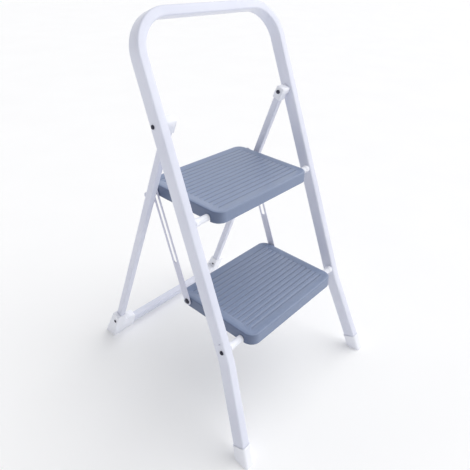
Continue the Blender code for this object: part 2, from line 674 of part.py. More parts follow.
def foot_edges():
    """Outer, inner and arm-end x of a rear corner foot."""
    leg_x = REAR_LEG_X + REAR_SPLAY
    outer = leg_x + REAR_TUBE_WIDTH / 2 + FOOT_WALL
    inner = leg_x - REAR_TUBE_WIDTH / 2 - FOOT_INNER_WALL - REAR_SPLAY * FOOT_HEIGHT / REAR_LEG_LENGTH
    return outer, inner, inner - FOOT_ARM_LENGTH


def rear_corner_foot(side, sign):
    """A leg sleeve with a heel, and an arm round the crossbar, joined by a web."""
    outer, inner, arm_end = foot_edges()
    level = -REAR_LEG_LENGTH
    floor = level - FOOT_HEEL
    top = level + FOOT_HEIGHT / math.cos(REAR_LEAN)
    heel_back = FOOT_HEEL * math.cos(REAR_LEAN)
    heel_down = level - FOOT_HEEL * math.sin(REAR_LEAN)
    reach = (floor - heel_down) / (top - FOOT_HEEL_START - heel_down) * (heel_back - FOOT_HALF_DEPTH)
    sleeve_outline = [
        (-FOOT_HALF_DEPTH, floor, 0),
        (heel_back - reach, floor, 0),
        (FOOT_HALF_DEPTH, top - FOOT_HEEL_START, FOOT_BACK_ROUND),
        (FOOT_HALF_DEPTH, top, FOOT_TOP_BACK_ROUND),
        (-FOOT_HALF_DEPTH, top, FOOT_TOP_FRONT_ROUND),
    ]
    width = outer - inner
    sleeve = plate(f"rear_corner_foot_{side}", [rounded(sleeve_outline, steps=3)], width)
    foot = as_part(sleeve, WHITE_PLASTIC)
    place(foot, REAR_AXIS, (sign * (inner + width / 2), 0, 0), SIDE_VIEW)
    bar_top = crossbar_place()[1] + CROSSBAR_HEIGHT / 2
    into_sleeve = inner + FOOT_INNER_WALL
    arm_outline = [
        (sign * into_sleeve, floor, 0),
        (sign * into_sleeve, bar_top + FOOT_WEB_ABOVE_BAR, 0),
        (sign * (inner - FOOT_WEB_LENGTH), bar_top + FOOT_WEB_ABOVE_BAR, FOOT_WEB_ROUND),
        (sign * arm_end, bar_top + FOOT_ARM_ABOVE_BAR, FOOT_ARM_ROUND),
        (sign * arm_end, floor, 0),
    ]
    arm_depth = 2 * (FOOT_HALF_DEPTH - FOOT_SOLE_INSET)
    arm = as_cutter(plate(f"{side}_foot_arm", [rounded(arm_outline, steps=3)], arm_depth))
    add_boolean(foot, place(arm, REAR_AXIS, (0, 0, 0), FRONT_VIEW), "UNION")
    half = crossbar_place()[0]
    leg_end = level + REAR_LEG_ABOVE_FLOOR - GAP
    add_boolean(foot, as_cutter(rear_leg_shape(f"{side}_foot_socket", sign, GAP, 0, leg_end)))
    add_boolean(foot, as_cutter(crossbar_shape(f"{side}_foot_arm_socket", GAP, half + GAP)))
    add_boolean(foot, below_floor(f"{side}_foot_floor_cut", 0))
    rivet_y, rivet_z = foot_rivet_place()
    hole = FOOT_RIVET_DIAMETER + 2 * GAP
    rivet_hole = pivot_cutter(f"{side}_foot_rivet_hole", hole, 0, sign * (outer + PAST), rivet_y, rivet_z)
    add_boolean(foot, rivet_hole)


def rear_foot_rivet(side, sign):
    outer, inner, _ = foot_edges()
    rivet_y, rivet_z = foot_rivet_place()
    out_face = outer + GAP
    in_face = inner - GAP
    profile = dome(FOOT_RIVET_HEAD / 2, out_face, FOOT_RIVET_DOME)
    profile += [(FOOT_RIVET_DIAMETER / 2, out_face), (FOOT_RIVET_DIAMETER / 2, in_face)]
    profile += reversed(dome(FOOT_RIVET_TAIL / 2, in_face, -FOOT_RIVET_DOME))
    rivet = as_part(turned(f"rear_foot_rivet_{side}", profile), DARK_STEEL)
    place(rivet, None, (0, rivet_y, rivet_z), (0, sign * math.pi / 2, 0))


def rod_in_rear_frame():
    """The support rod's place behind and along a rear leg, measured from the hinge."""
    back, up = ROD_Y - HINGE_Y, ROD_Z - HINGE_Z
    along = -back * math.sin(REAR_LEAN) + up * math.cos(REAR_LEAN)
    behind = back * math.cos(REAR_LEAN) + up * math.sin(REAR_LEAN)
    return behind, along


def tab_outer_x():
    _, along = rod_in_rear_frame()
    return REAR_LEG_X - along * math.tan(REAR_SPLAY_ANGLE) - REAR_TUBE_WIDTH / 2 - TAB_GAP


def support_rod():
    half = tab_outer_x() + TAB_GAP / 3
    rod = as_part(cylinder("support_rod", ROD_DIAMETER, 2 * half), PAINT)
    place(rod, None, (0, ROD_Y, ROD_Z), ALONG_X)


def rod_tab(side, sign):
    """A plate on the rear leg's inner face that carries one end of the rod."""
    behind, along = rod_in_rear_frame()
    lean = math.atan2(TAB_DROP, behind)
    length = math.hypot(behind, TAB_DROP)
    outline = slot_outline(0, length, 2 * TAB_RADIUS)
    hole = circle(0, length, ROD_DIAMETER + 2 * GAP)
    tab = as_part(plate(f"rod_tab_{side}", [outline, hole], TAB_THICKNESS), PAINT)
    centre_x = sign * (tab_outer_x() - TAB_THICKNESS / 2)
    place(tab, REAR_AXIS, (centre_x, 0, along + TAB_DROP), SIDE_VIEW)
    tab.data.transform(Matrix.Rotation(-math.pi / 2 - lean, 4, "Z"))


def step_shell(name):
    """The moulding's skin, open underneath, with its top at local z = 0 and its centre at x = y = 0."""
    width = 2 * STEP_HALF_WIDTH
    mesh = bpy.data.meshes.new(name)
    bm = bmesh.new()
    bmesh.ops.create_cube(bm, size=1.0)
    bmesh.ops.scale(bm, vec=(width, STEP_DEPTH, STEP_SKIRT), verts=bm.verts)
    bmesh.ops.translate(bm, vec=(0, 0, -STEP_SKIRT / 2), verts=bm.verts)
    upright = [e for e in bm.edges if abs(e.verts[0].co.z - e.verts[1].co.z) > STEP_SKIRT / 2]
    bmesh.ops.bevel(bm, geom=upright, offset=STEP_CORNER, segments=5, profile=0.5, affect="EDGES")
    rim = [e for e in bm.edges if all(v.co.z > -STEP_SKIRT / 2 for v in e.verts)]
    bmesh.ops.bevel(bm, geom=rim, offset=STEP_EDGE_ROUND, segments=2, profile=0.5, affect="EDGES")
    bottom = [f for f in bm.faces if f.normal.z < -0.9]
    bmesh.ops.delete(bm, geom=bottom, context="FACES")
    bm.to_mesh(mesh)
    bm.free()
    return bpy.data.objects.new(name, mesh)


def boxes(name, places):
    """One helper mesh of separate boxes, each given as (centre, size)."""
    mesh = bpy.data.meshes.new(name)
    bm = bmesh.new()
    for centre, size in places:
        made = bmesh.ops.create_cube(bm, size=1.0)["verts"]
        bmesh.ops.scale(bm, vec=size, verts=made)
        bmesh.ops.translate(bm, vec=centre, verts=made)
    bm.to_mesh(mesh)
    bm.free()
    return bpy.data.objects.new(name, mesh)


def step_tread(name, axis):
    """Skin, stiffening ribs, bearings for the pivot tube, grooved top and notched sides."""
    tread = as_part(step_shell(name), STEP_PLASTIC)
    centre = (0, STEP_MIDDLE, PIVOT_BELOW_TOP)
    place(tread, axis, centre)
    wall = tread.modifiers.new("wall", "SOLIDIFY")
    wall.thickness = STEP_WALL
    wall.offset = -1
    wall.use_even_offset = True

    inner_depth = STEP_DEPTH - 2 * STEP_WALL
    bite = STEP_WALL / 2
    rib_height = STEP_SKIRT - STEP_WALL
    rib_low = -STEP_SKIRT
    bearing_x = STEP_HALF_WIDTH - RIB_FROM_SIDE
    middle_x = STEP_HALF_WIDTH / 3
    rib_centre = rib_low + (rib_height + bite) / 2
    into_corner = STEP_CORNER - RIB_FROM_SIDE + RIB_THICKNESS / 2
    corner_edge = STEP_CORNER - math.sqrt(STEP_CORNER ** 2 - into_corner ** 2)
    lengths = {bearing_x: STEP_DEPTH - 2 * (corner_edge + bite), middle_x: inner_depth + 2 * bite}
    ribs = []
    for x, length in lengths.items():
        rib_size = (RIB_THICKNESS, length, rib_height + bite)
        ribs += [((sign * x, 0, rib_centre), rib_size) for sign in SIDES.values()]
    add_boolean(tread, place(as_cutter(boxes(f"{name}_ribs", ribs)), axis, centre), "UNION")
    cross_height = rib_height * CROSS_RIB_SHARE
    cross_size = (2 * bearing_x, RIB_THICKNESS, cross_height + bite)
    cross = [((0, 0, -STEP_WALL + bite - (cross_height + bite) / 2), cross_size)]
    add_boolean(tread, place(as_cutter(boxes(f"{name}_cross_rib", cross)), axis, centre), "UNION")

    pivot_y = -STEP_MIDDLE
    bore_length = 2 * (bearing_x + RIB_THICKNESS)
    bore = as_cutter(cylinder(f"{name}_bore", PIVOT_TUBE_DIAMETER + 4 * GAP, bore_length))
    add_boolean(tread, place(bore, axis, (0, 0, 0), ALONG_X))
    notch_outline = slot_outline(-STEP_SKIRT, 0, PIVOT_TUBE_DIAMETER + 4 * GAP)
    notch_width = 2 * (STEP_WALL + NOTCH_PAST_WALL)
    for sign in SIDES.values():
        notch = as_cutter(plate(f"{name}_notch_{sign}", [notch_outline], notch_width))
        place(notch, axis, (sign * STEP_HALF_WIDTH, 0, 0), SIDE_VIEW)
        add_boolean(tread, notch)
        pin_bore = LINK_PIN_DIAMETER + 2 * GAP
        pin_hole = as_cutter(cylinder(f"{name}_pin_hole_{sign}", pin_bore, 2 * LINK_PIN_HOLE_REACH))
        place(pin_hole, axis, (sign * STEP_HALF_WIDTH, LINK_REACH, LINK_RISE), ALONG_X)
        add_boolean(tread, pin_hole)

    pitch = (STEP_DEPTH - 2 * TREAD_BORDER) / TREAD_RIBS
    groove_size = (2 * (STEP_HALF_WIDTH - TREAD_BORDER), GROOVE_WIDTH, 2 * GROOVE_DEPTH)
    first = -STEP_DEPTH / 2 + TREAD_BORDER
    grooves = [((0, first + k * pitch, 0), groove_size) for k in range(TREAD_RIBS + 1)]
    add_boolean(tread, place(as_cutter(boxes(f"{name}_grooves", grooves)), axis, centre))
    return tread


def hook_place():
    """Centre x of a hook, and the front and back of its tongue behind the rod, as seen from the pivot."""
    x = STEP_HALF_WIDTH - HOOK_FROM_SIDE
    front = ROD_Y + ROD_DIAMETER / 2 + HOOK_ROD_GAP - UPPER_PIVOT_Y
    skirt_inside = STEP_DEPTH - STEP_FRONT_OVERHANG - STEP_WALL
    return x, front, front + HOOK_THICKNESS, (front + HOOK_THICKNESS + skirt_inside) / 2


def hook_bosses(tread):
    """Round bosses under the upper step that take the hooks' screws."""
    x, _, _, screw_y = hook_place()
    skirt_low = PIVOT_BELOW_TOP - STEP_SKIRT
    low = skirt_low + HOOK_PAD_THICKNESS + 2 * GAP
    high = PIVOT_BELOW_TOP - STEP_WALL / 2
    for side, sign in SIDES.items():
        boss = as_cutter(cylinder(f"{side}_hook_boss", BOSS_DIAMETER, high - low))
        place(boss, UPPER_STEP_AXIS, (sign * x, screw_y, (low + high) / 2))
        add_boolean(tread, boss, "UNION")
        pilot_bore = HOOK_SCREW_DIAMETER + 2 * GAP
        pilot = as_cutter(cylinder(f"{side}_boss_pilot", pilot_bore, 2 * BOSS_PILOT_DEPTH, SMALL_STEPS))
        place(pilot, UPPER_STEP_AXIS, (sign * x, screw_y, low))
        add_boolean(tread, pilot)


def rod_hook(side, sign):
    """A plastic catch: a pad screwed up into the step, and a tongue that hangs down behind the rod."""
    x, front, tongue_back, screw_y = hook_place()
    skirt_low = PIVOT_BELOW_TOP - STEP_SKIRT
    pad_low = skirt_low + GAP
    pad_high = pad_low + HOOK_PAD_THICKNESS
    pad_back = 2 * screw_y - tongue_back - GAP
    low = pad_low - HOOK_DROP
    outline = [
        (front, pad_high, 0),
        (front, low, HOOK_ROUND),
        (tongue_back, low + HOOK_TIP_RISE, HOOK_ROUND),
        (tongue_back, pad_low, 0),
        (pad_back, pad_low, HOOK_ROUND),
        (pad_back, pad_high, 0),
    ]
    hook = as_part(plate(f"rod_hook_{side}", [rounded(outline, steps=3)], HOOK_WIDTH), STEP_PLASTIC)
    place(hook, UPPER_STEP_AXIS, (sign * x, 0, 0), SIDE_VIEW)
    hole = as_cutter(cylinder(f"{side}_hook_hole", HOOK_SCREW_DIAMETER + 2 * GAP, 2 * PAST, SMALL_STEPS))
    place(hole, UPPER_STEP_AXIS, (sign * x, screw_y, pad_low))
    add_boolean(hook, hole)
    head_face = pad_low - GAP
    shank = HOOK_SCREW_DIAMETER / 2
    tip = pad_high + HOOK_SCREW_ABOVE_PAD
    profile = [(0, tip), (shank, tip - HOOK_SCREW_TIP), (shank, head_face)]
    profile += reversed(dome(HOOK_SCREW_HEAD / 2, head_face, -HOOK_SCREW_HEAD_HEIGHT))
    screw = as_part(turned(f"hook_screw_{side}", profile, steps=SMALL_STEPS), PLATED_STEEL)
    place(screw, UPPER_STEP_AXIS, (sign * x, screw_y, 0))


def link_pin(name, sign, axis, shoulder_diameter):
    """A rivet through the step's side: a flange inside, a shoulder in the link and a head outside it."""
    inner_face = STEP_HALF_WIDTH - STEP_WALL - GAP
    outer_face = STEP_HALF_WIDTH + GAP
    head_face = LINK_OUTER_X + GAP
    shank = LINK_PIN_DIAMETER / 2
    flange = shank + LINK_PIN_FLANGE
    flange_end = inner_face - LINK_PIN_FLANGE_THICKNESS
    profile = dome(LINK_PIN_HEAD / 2, head_face, LINK_PIN_HEAD_HEIGHT)
    profile.append((shoulder_diameter / 2, head_face))
    if shoulder_diameter > LINK_PIN_DIAMETER:
        profile += [(shoulder_diameter / 2, outer_face), (shank, outer_face)]
    profile += [
        (shank, inner_face),
        (flange, inner_face),
        (flange - LINK_PIN_FLANGE_TAPER, flange_end),
        (0, flange_end),
    ]
    pin = as_part(turned(name, profile), DARK_STEEL)
    place(pin, axis, (0, LINK_REACH, LINK_RISE), (0, sign * math.pi / 2, 0))


def link_bar(side, sign):
    """A flat slotted bar, pinned to the lower step; its slot's upper end rides on the upper step's pin."""
    axis = add_axis(
        f"{side}_link_axis", LOWER_PIVOT_Y + LINK_REACH, LOWER_PIVOT_Z + LINK_RISE, lean=LINK_LEAN
    )
    outlines = [
        slot_outline(0, LINK_LENGTH, LINK_WIDTH),
        slot_outline(SLOT_START + SLOT_WIDTH / 2, LINK_LENGTH, SLOT_WIDTH),
        circle(0, 0, LINK_PIN_DIAMETER + 2 * GAP, 16),
    ]
    bar = as_part(plate(f"{side}_link_bar", outlines, LINK_THICKNESS), PAINT)
    place(bar, axis, (sign * (LINK_INNER_X + LINK_THICKNESS / 2), 0, 0), SIDE_VIEW)


front_hoop()
pivot_tube("upper_pivot_tube", UPPER_PIVOT_Y, UPPER_PIVOT_Z)
LOWER_TUBE_END = pivot_tube("lower_pivot_tube", LOWER_PIVOT_Y, LOWER_PIVOT_Z)
rear_crossbar()
support_rod()
hook_bosses(step_tread("upper_tread", UPPER_STEP_AXIS))
step_tread("lower_tread", LOWER_STEP_AXIS)
for side, sign in SIDES.items():
    front_foot(side, sign)
    spacer(f"upper_spacer_{side}", sign, UPPER_PIVOT_Y, UPPER_PIVOT_Z)
    spacer(f"lower_spacer_{side}", sign, LOWER_PIVOT_Y, LOWER_PIVOT_Z)
    tube_fixing(side, sign, LOWER_TUBE_END)
    hinge_bolt(side, sign)
    rear_leg(side, sign)
    hinge_bracket(side, sign)
    rear_corner_foot(side, sign)
    rear_foot_rivet(side, sign)
    rod_tab(side, sign)
    rod_hook(side, sign)
    link_pin(f"link_upper_pin_{side}", sign, UPPER_STEP_AXIS, SLOT_WIDTH - 2 * GAP)
    link_pin(f"link_lower_rivet_{side}", sign, LOWER_STEP_AXIS, LINK_PIN_DIAMETER)
    link_bar(side, sign)
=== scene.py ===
"""Looks of a two-step folding stool: fine tubes, ribbed treads, moulded feet and brackets, rivets,
and the finishes on them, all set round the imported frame."""

import json
import math

import bmesh
import bpy
from mathutils import Matrix, Vector


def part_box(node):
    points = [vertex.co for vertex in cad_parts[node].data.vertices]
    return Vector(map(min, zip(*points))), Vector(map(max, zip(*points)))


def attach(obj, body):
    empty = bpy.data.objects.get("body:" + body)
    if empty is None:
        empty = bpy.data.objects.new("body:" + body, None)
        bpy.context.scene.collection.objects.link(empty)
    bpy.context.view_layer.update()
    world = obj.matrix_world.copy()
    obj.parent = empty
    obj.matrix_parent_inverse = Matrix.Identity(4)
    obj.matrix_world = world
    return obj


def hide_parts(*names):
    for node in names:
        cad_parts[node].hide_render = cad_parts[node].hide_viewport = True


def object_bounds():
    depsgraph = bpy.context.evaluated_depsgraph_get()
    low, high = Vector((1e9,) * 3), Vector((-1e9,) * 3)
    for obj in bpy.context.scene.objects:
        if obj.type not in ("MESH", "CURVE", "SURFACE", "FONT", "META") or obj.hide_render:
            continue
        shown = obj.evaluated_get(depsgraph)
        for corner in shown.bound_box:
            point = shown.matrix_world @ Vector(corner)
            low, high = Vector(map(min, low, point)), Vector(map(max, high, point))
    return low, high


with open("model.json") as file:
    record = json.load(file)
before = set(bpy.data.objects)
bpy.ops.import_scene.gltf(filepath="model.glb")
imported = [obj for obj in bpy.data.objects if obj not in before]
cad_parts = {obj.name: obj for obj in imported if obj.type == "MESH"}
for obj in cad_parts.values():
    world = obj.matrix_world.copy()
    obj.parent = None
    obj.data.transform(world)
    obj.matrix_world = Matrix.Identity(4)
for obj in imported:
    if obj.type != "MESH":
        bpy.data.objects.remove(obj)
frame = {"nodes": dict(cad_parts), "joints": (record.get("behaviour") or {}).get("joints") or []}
CAD_LOW, CAD_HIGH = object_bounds()

# Places that the frame gives
JOINTS = {joint["name"]: Vector(joint["pos_m"]) for joint in frame["joints"]}
HINGE = JOINTS["fold"]
UPPER_PIVOT = JOINTS["upper_step_tilt"]
LOWER_PIVOT = JOINTS["lower_step_tilt"]
SIDES = {"left": -1, "right": 1}
RISE = UPPER_PIVOT - LOWER_PIVOT
FRONT_LEAN = math.atan2(RISE.y, RISE.z)

# Front rail
TUBE_WIDTH = 0.020
TUBE_DEPTH = 0.030
TUBE_CORNER = 0.0035
PIVOT_AHEAD = 0.0055  # pivots in front of the rail's centre line
LEG_X = 0.197
BEND_HEIGHT = 0.202
FOOT_SPREAD = 0.027  # how far each front foot stands outside the straight leg
HOOP_RADIUS = 0.075
LEG_RADIUS = 0.060
CAP_WALL = 0.0018
CAP_LENGTH = 0.038
CAP_SOCKET = 0.010  # bottom of the cap's socket, up the leg
RAIL_END = 0.0105  # where the tube stops in the cap, up the leg
DIMPLE_RADIUS = 0.0024
DIMPLE_ABOVE = 0.0155  # dimple's height above the lower pivot
PIVOT_TUBE_RADIUS = 0.006
PIVOT_TUBE_BORE = 0.0048
SPACER_BORE = 0.0063
SPACER_RADIUS = 0.00725
COLLAR_RADIUS = 0.0085
COLLAR_LENGTH = 0.010

# Rear frame
REAR_LEAN = math.radians(20)
REAR_WIDTH = 0.015
REAR_DEPTH = 0.017
REAR_CORNER = 0.0028
REAR_X = 0.1695
REAR_SPLAY = 0.008
REAR_WALL = 0.001
LEG_TOP = 0.009  # leg's upper end above the hinge
LEG_FOOT = 0.014  # leg's lower end above the floor, up the leg
BAR_HEIGHT = 0.025

# Steps
SKIRT = 0.025
STEP_WALL = 0.0025
STEP_CORNER = 0.023
STEP_EDGE = 0.004
TREAD_BORDER = 0.023
GROOVES = 14
FIELD_DROP = 0.0005  # of the grooved field below the smooth border
GROOVE_RADIUS = 0.0036
GROOVE_LIFT = 0.0027  # groove cutter's centre above the field
RIB_INSET = 0.009  # outer ribs' middles, in from the step's side
LONG_RIB = 0.0026  # thickness of a lengthways rib
CROSS_RIB = 0.0024
RIB_SUNK = 0.0004  # how far ribs run into the tread above them
BEARING_RADIUS = 0.0066

# Fasteners
SCREW_SHANK = 0.0025
SCREW_HEAD = 0.0030
BOLT_SHANK = 0.0030
BOLT_HEAD = 0.0026
NUT_RADIUS = 0.0045
NUT_LENGTH = 0.0040

GAP = 0.0003  # clearance between fitted parts
SHARP_ANGLE = 38  # degrees; edges above this aren't shaded smooth
SAME_POINT = 0.0000005


# ---------------------------------------------------------------- finishes

def socket(node, name):
    return next(s for s in node.inputs if s.name == name and s.enabled)


class Finish:
    """A Principled finish whose colour, roughness and relief come from patterns in object space."""

    def __init__(self, name, roughness, metallic=0.0, coat=0.0, specular=0.5):
        self.material = bpy.data.materials.new(name)
        self.material.use_nodes = True
        self.nodes = self.material.node_tree.nodes
        self.links = self.material.node_tree.links
        self.shader = self.nodes["Principled BSDF"]
        self.shader.inputs["Roughness"].default_value = roughness
        self.shader.inputs["Metallic"].default_value = metallic
        self.shader.inputs["Coat Weight"].default_value = coat
        self.shader.inputs["Coat Roughness"].default_value = 0.18
        self.shader.inputs["Specular IOR Level"].default_value = specular
        self.place = self.nodes.new("ShaderNodeTexCoord").outputs["Object"]
        self.height = None

    def add(self, kind):
        return self.nodes.new(kind)

    def feed(self, node, name, value):
        target = socket(node, name)
        if isinstance(value, bpy.types.NodeSocket):
            self.links.new(value, target)
        else:
            target.default_value = value

    def stretched(self, scale):
        mapping = self.add("ShaderNodeMapping")
        self.feed(mapping, "Vector", self.place)
        self.feed(mapping, "Scale", scale)
        return mapping.outputs["Vector"]

    def noise(self, scale, detail=2.0, stretch=None, roughness=0.5):
        node = self.add("ShaderNodeTexNoise")
        self.feed(node, "Vector", self.stretched(stretch) if stretch else self.place)
        self.feed(node, "Scale", scale)
        self.feed(node, "Detail", detail)
        self.feed(node, "Roughness", roughness)
        return node.outputs["Fac"]

    def cells(self, scale, smooth=0.6):
        node = self.add("ShaderNodeTexVoronoi")
        node.feature = "SMOOTH_F1"
        self.feed(node, "Vector", self.place)
        self.feed(node, "Scale", scale)
        self.feed(node, "Smoothness", smooth)
        return node.outputs["Distance"]

    def painted(self, name):
        node = self.add("ShaderNodeAttribute")
        node.attribute_name = name
        return node.outputs["Fac"]

    def ranged(self, value, low, high, to_low, to_high):
        node = self.add("ShaderNodeMapRange")
        for name, amount in (("Value", value), ("From Min", low), ("From Max", high),
                             ("To Min", to_low), ("To Max", to_high)):
            self.feed(node, name, amount)
        return node.outputs["Result"]

    def blended(self, share, first, second):
        node = self.add("ShaderNodeMix")
        node.data_type = "RGBA"
        colours = [s for s in node.inputs if s.type == "RGBA"]
        share_socket = next(s for s in node.inputs if s.type == "VALUE" and s.enabled)
        self.links.new(share, share_socket)
        for target, value in zip(colours, (first, second)):
            if isinstance(value, bpy.types.NodeSocket):
                self.links.new(value, target)
            else:
                target.default_value = (*value, 1.0)
        return next(s for s in node.outputs if s.type == "RGBA")

    def colour(self, value):
        self.links.new(value, self.shader.inputs["Base Color"])

    def rough(self, value):
        self.links.new(value, self.shader.inputs["Roughness"])

    def relief(self, value, strength, distance):
        """Adds a bump; the first one given is the finest."""
        node = self.add("ShaderNodeBump")
        self.feed(node, "Height", value)
        self.feed(node, "Strength", strength)
        self.feed(node, "Distance", distance)
        if self.height is not None:
            self.links.new(self.height, node.inputs["Normal"])
        self.height = node.outputs["Normal"]
        self.links.new(self.height, self.shader.inputs["Normal"])


def powder_coat():
    """Satin white powder coat with a lilac tint, soft clouds, faint specks and a fine orange peel."""
    made = Finish("white_powder_coat", 0.34, coat=0.25)
    cloud = made.ranged(made.noise(9.0, 3.0), 0.35, 0.65, 0.0, 1.0)
    speck = made.ranged(made.noise(1400.0, 1.0), 0.62, 0.75, 0.0, 0.35)
    clean = made.blended(cloud, (0.670, 0.690, 0.800), (0.720, 0.740, 0.840))
    made.colour(made.blended(speck, clean, (0.65, 0.68, 0.78)))
    made.rough(made.ranged(made.noise(60.0, 3.0), 0.3, 0.7, 0.29, 0.40))
    made.relief(made.noise(900.0, 2.0), 0.16, 0.0002)
    made.relief(made.noise(160.0, 1.0), 0.10, 0.0005)
    return made.material


def link_coat():
    """The same coat on flat pressed bars, a little greyer and drawn along the bar."""
    made = Finish("grey_bar_coat", 0.38, coat=0.15)
    cloud = made.ranged(made.noise(30.0, 3.0, stretch=(1.0, 0.4, 0.2)), 0.3, 0.7, 0.0, 1.0)
    made.colour(made.blended(cloud, (0.60, 0.61, 0.73), (0.70, 0.71, 0.82)))
    made.rough(made.ranged(made.noise(80.0, 2.0), 0.3, 0.7, 0.33, 0.45))
    made.relief(made.noise(700.0, 2.0), 0.18, 0.0002)
    return made.material


def moulded_white():
    """Plain white moulded plastic with a fine matt skin and slight flow clouds."""
    made = Finish("moulded_white_plastic", 0.46)
    cloud = made.ranged(made.noise(26.0, 4.0), 0.3, 0.7, 0.0, 1.0)
    made.colour(made.blended(cloud, (0.850, 0.865, 0.930), (0.885, 0.895, 0.950)))
    made.rough(made.ranged(made.noise(120.0, 2.0), 0.3, 0.7, 0.40, 0.52))
    made.relief(made.cells(1500.0), 0.12, 0.00015)
    return made.material


def grained_step():
    """Grey-blue moulded plastic: spark-eroded grain, soft clouds, paler worn rib crests, and painted shade
    darkening the grooves and the left and right sides.
    """
    made = Finish("grained_step_plastic", 0.36, specular=0.6)
    cloud = made.ranged(made.noise(14.0, 4.0), 0.32, 0.68, 0.0, 1.0)
    base = made.blended(cloud, (0.080, 0.112, 0.195), (0.105, 0.138, 0.230))
    scuff = made.noise(90.0, 4.0, roughness=0.6)
    patch = made.add("ShaderNodeMath")
    patch.operation = "MULTIPLY"
    # wear pales the ribs; painted shade darkens the grooves and the left and right sides
    made.links.new(made.painted("wear_and_shade"), patch.inputs[0])
    made.links.new(made.ranged(scuff, 0.35, 0.70, 0.86, 1.0), patch.inputs[1])
    made.colour(made.blended(patch.outputs[0], base, (0.232, 0.288, 0.425)))
    made.rough(made.ranged(scuff, 0.3, 0.7, 0.30, 0.42))
    made.relief(made.cells(1100.0, 0.4), 0.22, 0.0002)
    made.relief(made.noise(420.0, 3.0), 0.14, 0.0003)
    return made.material


def zinc():
    """Zinc plating with cloudy passivation."""
    made = Finish("zinc_plating", 0.36, metallic=1.0)
    cloud = made.ranged(made.noise(240.0, 4.0), 0.3, 0.7, 0.0, 1.0)
    made.colour(made.blended(cloud, (0.50, 0.51, 0.55), (0.66, 0.67, 0.70)))
    made.rough(made.ranged(made.noise(500.0, 2.0), 0.3, 0.7, 0.26, 0.44))
    made.relief(made.noise(1500.0, 1.0), 0.10, 0.0001)
    return made.material


def black_oxide():
    """Blackened steel fasteners with a blue cast and lighter rubbed spots."""
    made = Finish("black_oxide_steel", 0.38, metallic=0.8)
    cloud = made.ranged(made.noise(600.0, 4.0), 0.35, 0.75, 0.0, 1.0)
    made.colour(made.blended(cloud, (0.022, 0.022, 0.038), (0.085, 0.085, 0.115)))
    made.rough(made.ranged(made.noise(900.0, 2.0), 0.3, 0.7, 0.30, 0.48))
    made.relief(made.noise(1800.0, 1.0), 0.12, 0.0001)
    return made.material


def floor_sheet():
    """A pale seamless floor with a barely visible grain."""
    made = Finish("pale_floor", 0.7, specular=0.2)
    cloud = made.ranged(made.noise(3.0, 2.0), 0.3, 0.7, 0.0, 1.0)
    made.colour(made.blended(cloud, (0.97, 0.97, 0.972), (0.985, 0.985, 0.986)))
    made.relief(made.noise(300.0, 2.0), 0.02, 0.0003)
    return made.material


PAINT = powder_coat()
LINK_PAINT = link_coat()
WHITE = moulded_white()
STEP = grained_step()
ZINC = zinc()
BLACK = black_oxide()


# ---------------------------------------------------------------- shaping tools

def as_piece(obj, body, material, *nodes):
    """Puts a finished mesh on its body, in its finish, in place of the plain nodes it stands for."""
    if obj.name not in bpy.context.scene.collection.all_objects:
        bpy.context.scene.collection.objects.link(obj)
    if not obj.data.materials:
        obj.data.materials.append(material)
    obj.data.shade_smooth()
    obj.data.set_sharp_from_angle(angle=math.radians(SHARP_ANGLE))
    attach(obj, body)
    if nodes:
        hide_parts(*nodes)
    return obj


def new_object(name, bm, matrix=None):
    if matrix is not None:
        bmesh.ops.transform(bm, matrix=matrix, verts=bm.verts)
    mesh = bpy.data.meshes.new(name)
    bm.to_mesh(mesh)
    bm.free()
    return bpy.data.objects.new(name, mesh)


def outward(bm):
    """Merges points in the same place and turns every face outwards."""
    bmesh.ops.remove_doubles(bm, verts=bm.verts, dist=SAME_POINT)
    bmesh.ops.recalc_face_normals(bm, faces=bm.faces)


def baked(obj):
    """The same object with its modifiers turned into plain mesh."""
    if obj.name not in bpy.context.scene.collection.all_objects:
        bpy.context.scene.collection.objects.link(obj)
    bpy.context.view_layer.update()
    graph = bpy.context.evaluated_depsgraph_get()
    mesh = bpy.data.meshes.new_from_object(obj.evaluated_get(graph))
    obj.modifiers.clear()
    obj.data = mesh
    return obj


def drop(*objects):
    for obj in objects:
        bpy.data.objects.remove(obj, do_unlink=True)


def boolean(obj, other, operation="DIFFERENCE"):
    """Cuts the other object out of the first, or joins it on, and uses it up."""
    if other.name not in bpy.context.scene.collection.all_objects:
        bpy.context.scene.collection.objects.link(other)
    modifier = obj.modifiers.new("join", "BOOLEAN")
    modifier.operation = operation
    modifier.solver = "EXACT"
    modifier.object = other
    baked(obj)
    drop(other)
    return obj


def rounded(corners, closed=True, steps=8):
    """The points of a polygon or an open path whose corners are (x, y, fillet radius)."""
    points = []
    last = len(corners) - 1
    for i, (x, y, radius) in enumerate(corners):
        corner = Vector((x, y))
        if not radius or (not closed and i in (0, last)):
            points.append(corner)
            continue
        before = (Vector(corners[i - 1][:2]) - corner).normalized()
        after = (Vector(corners[(i + 1) % len(corners)][:2]) - corner).normalized()
        half = before.angle(after) / 2
        centre = corner + (before + after).normalized() * (radius / math.sin(half))
        start = corner + before * (radius / math.tan(half)) - centre
        turn = (math.pi - 2 * half) * math.copysign(1, before.cross(after) * -1)
        points += [centre + Matrix.Rotation(turn * k / steps, 2) @ start for k in range(steps + 1)]
    return points


def rectangle(half_x, half_y, radius, steps):
    corners = [(half_x, -half_y), (half_x, half_y), (-half_x, half_y), (-half_x, -half_y)]
    return rounded([(x, y, radius) for x, y in corners], steps=steps)


def lofted(name, loops, around=False):
    """Quads between loops of equal length, capped at both ends or joined round from last to first."""
    bm = bmesh.new()
    rows = [[bm.verts.new(point) for point in loop] for loop in loops]
    pairs = list(zip(rows, rows[1:]))
    if around:
        pairs.append((rows[-1], rows[0]))
    for low, high in pairs:
        count = len(low)
        for i in range(count):
            bm.faces.new((low[i], low[(i + 1) % count], high[(i + 1) % count], high[i]))
    if not around:
        bm.faces.new(list(reversed(rows[0])))
        bm.faces.new(rows[-1])
    outward(bm)
    return new_object(name, bm)


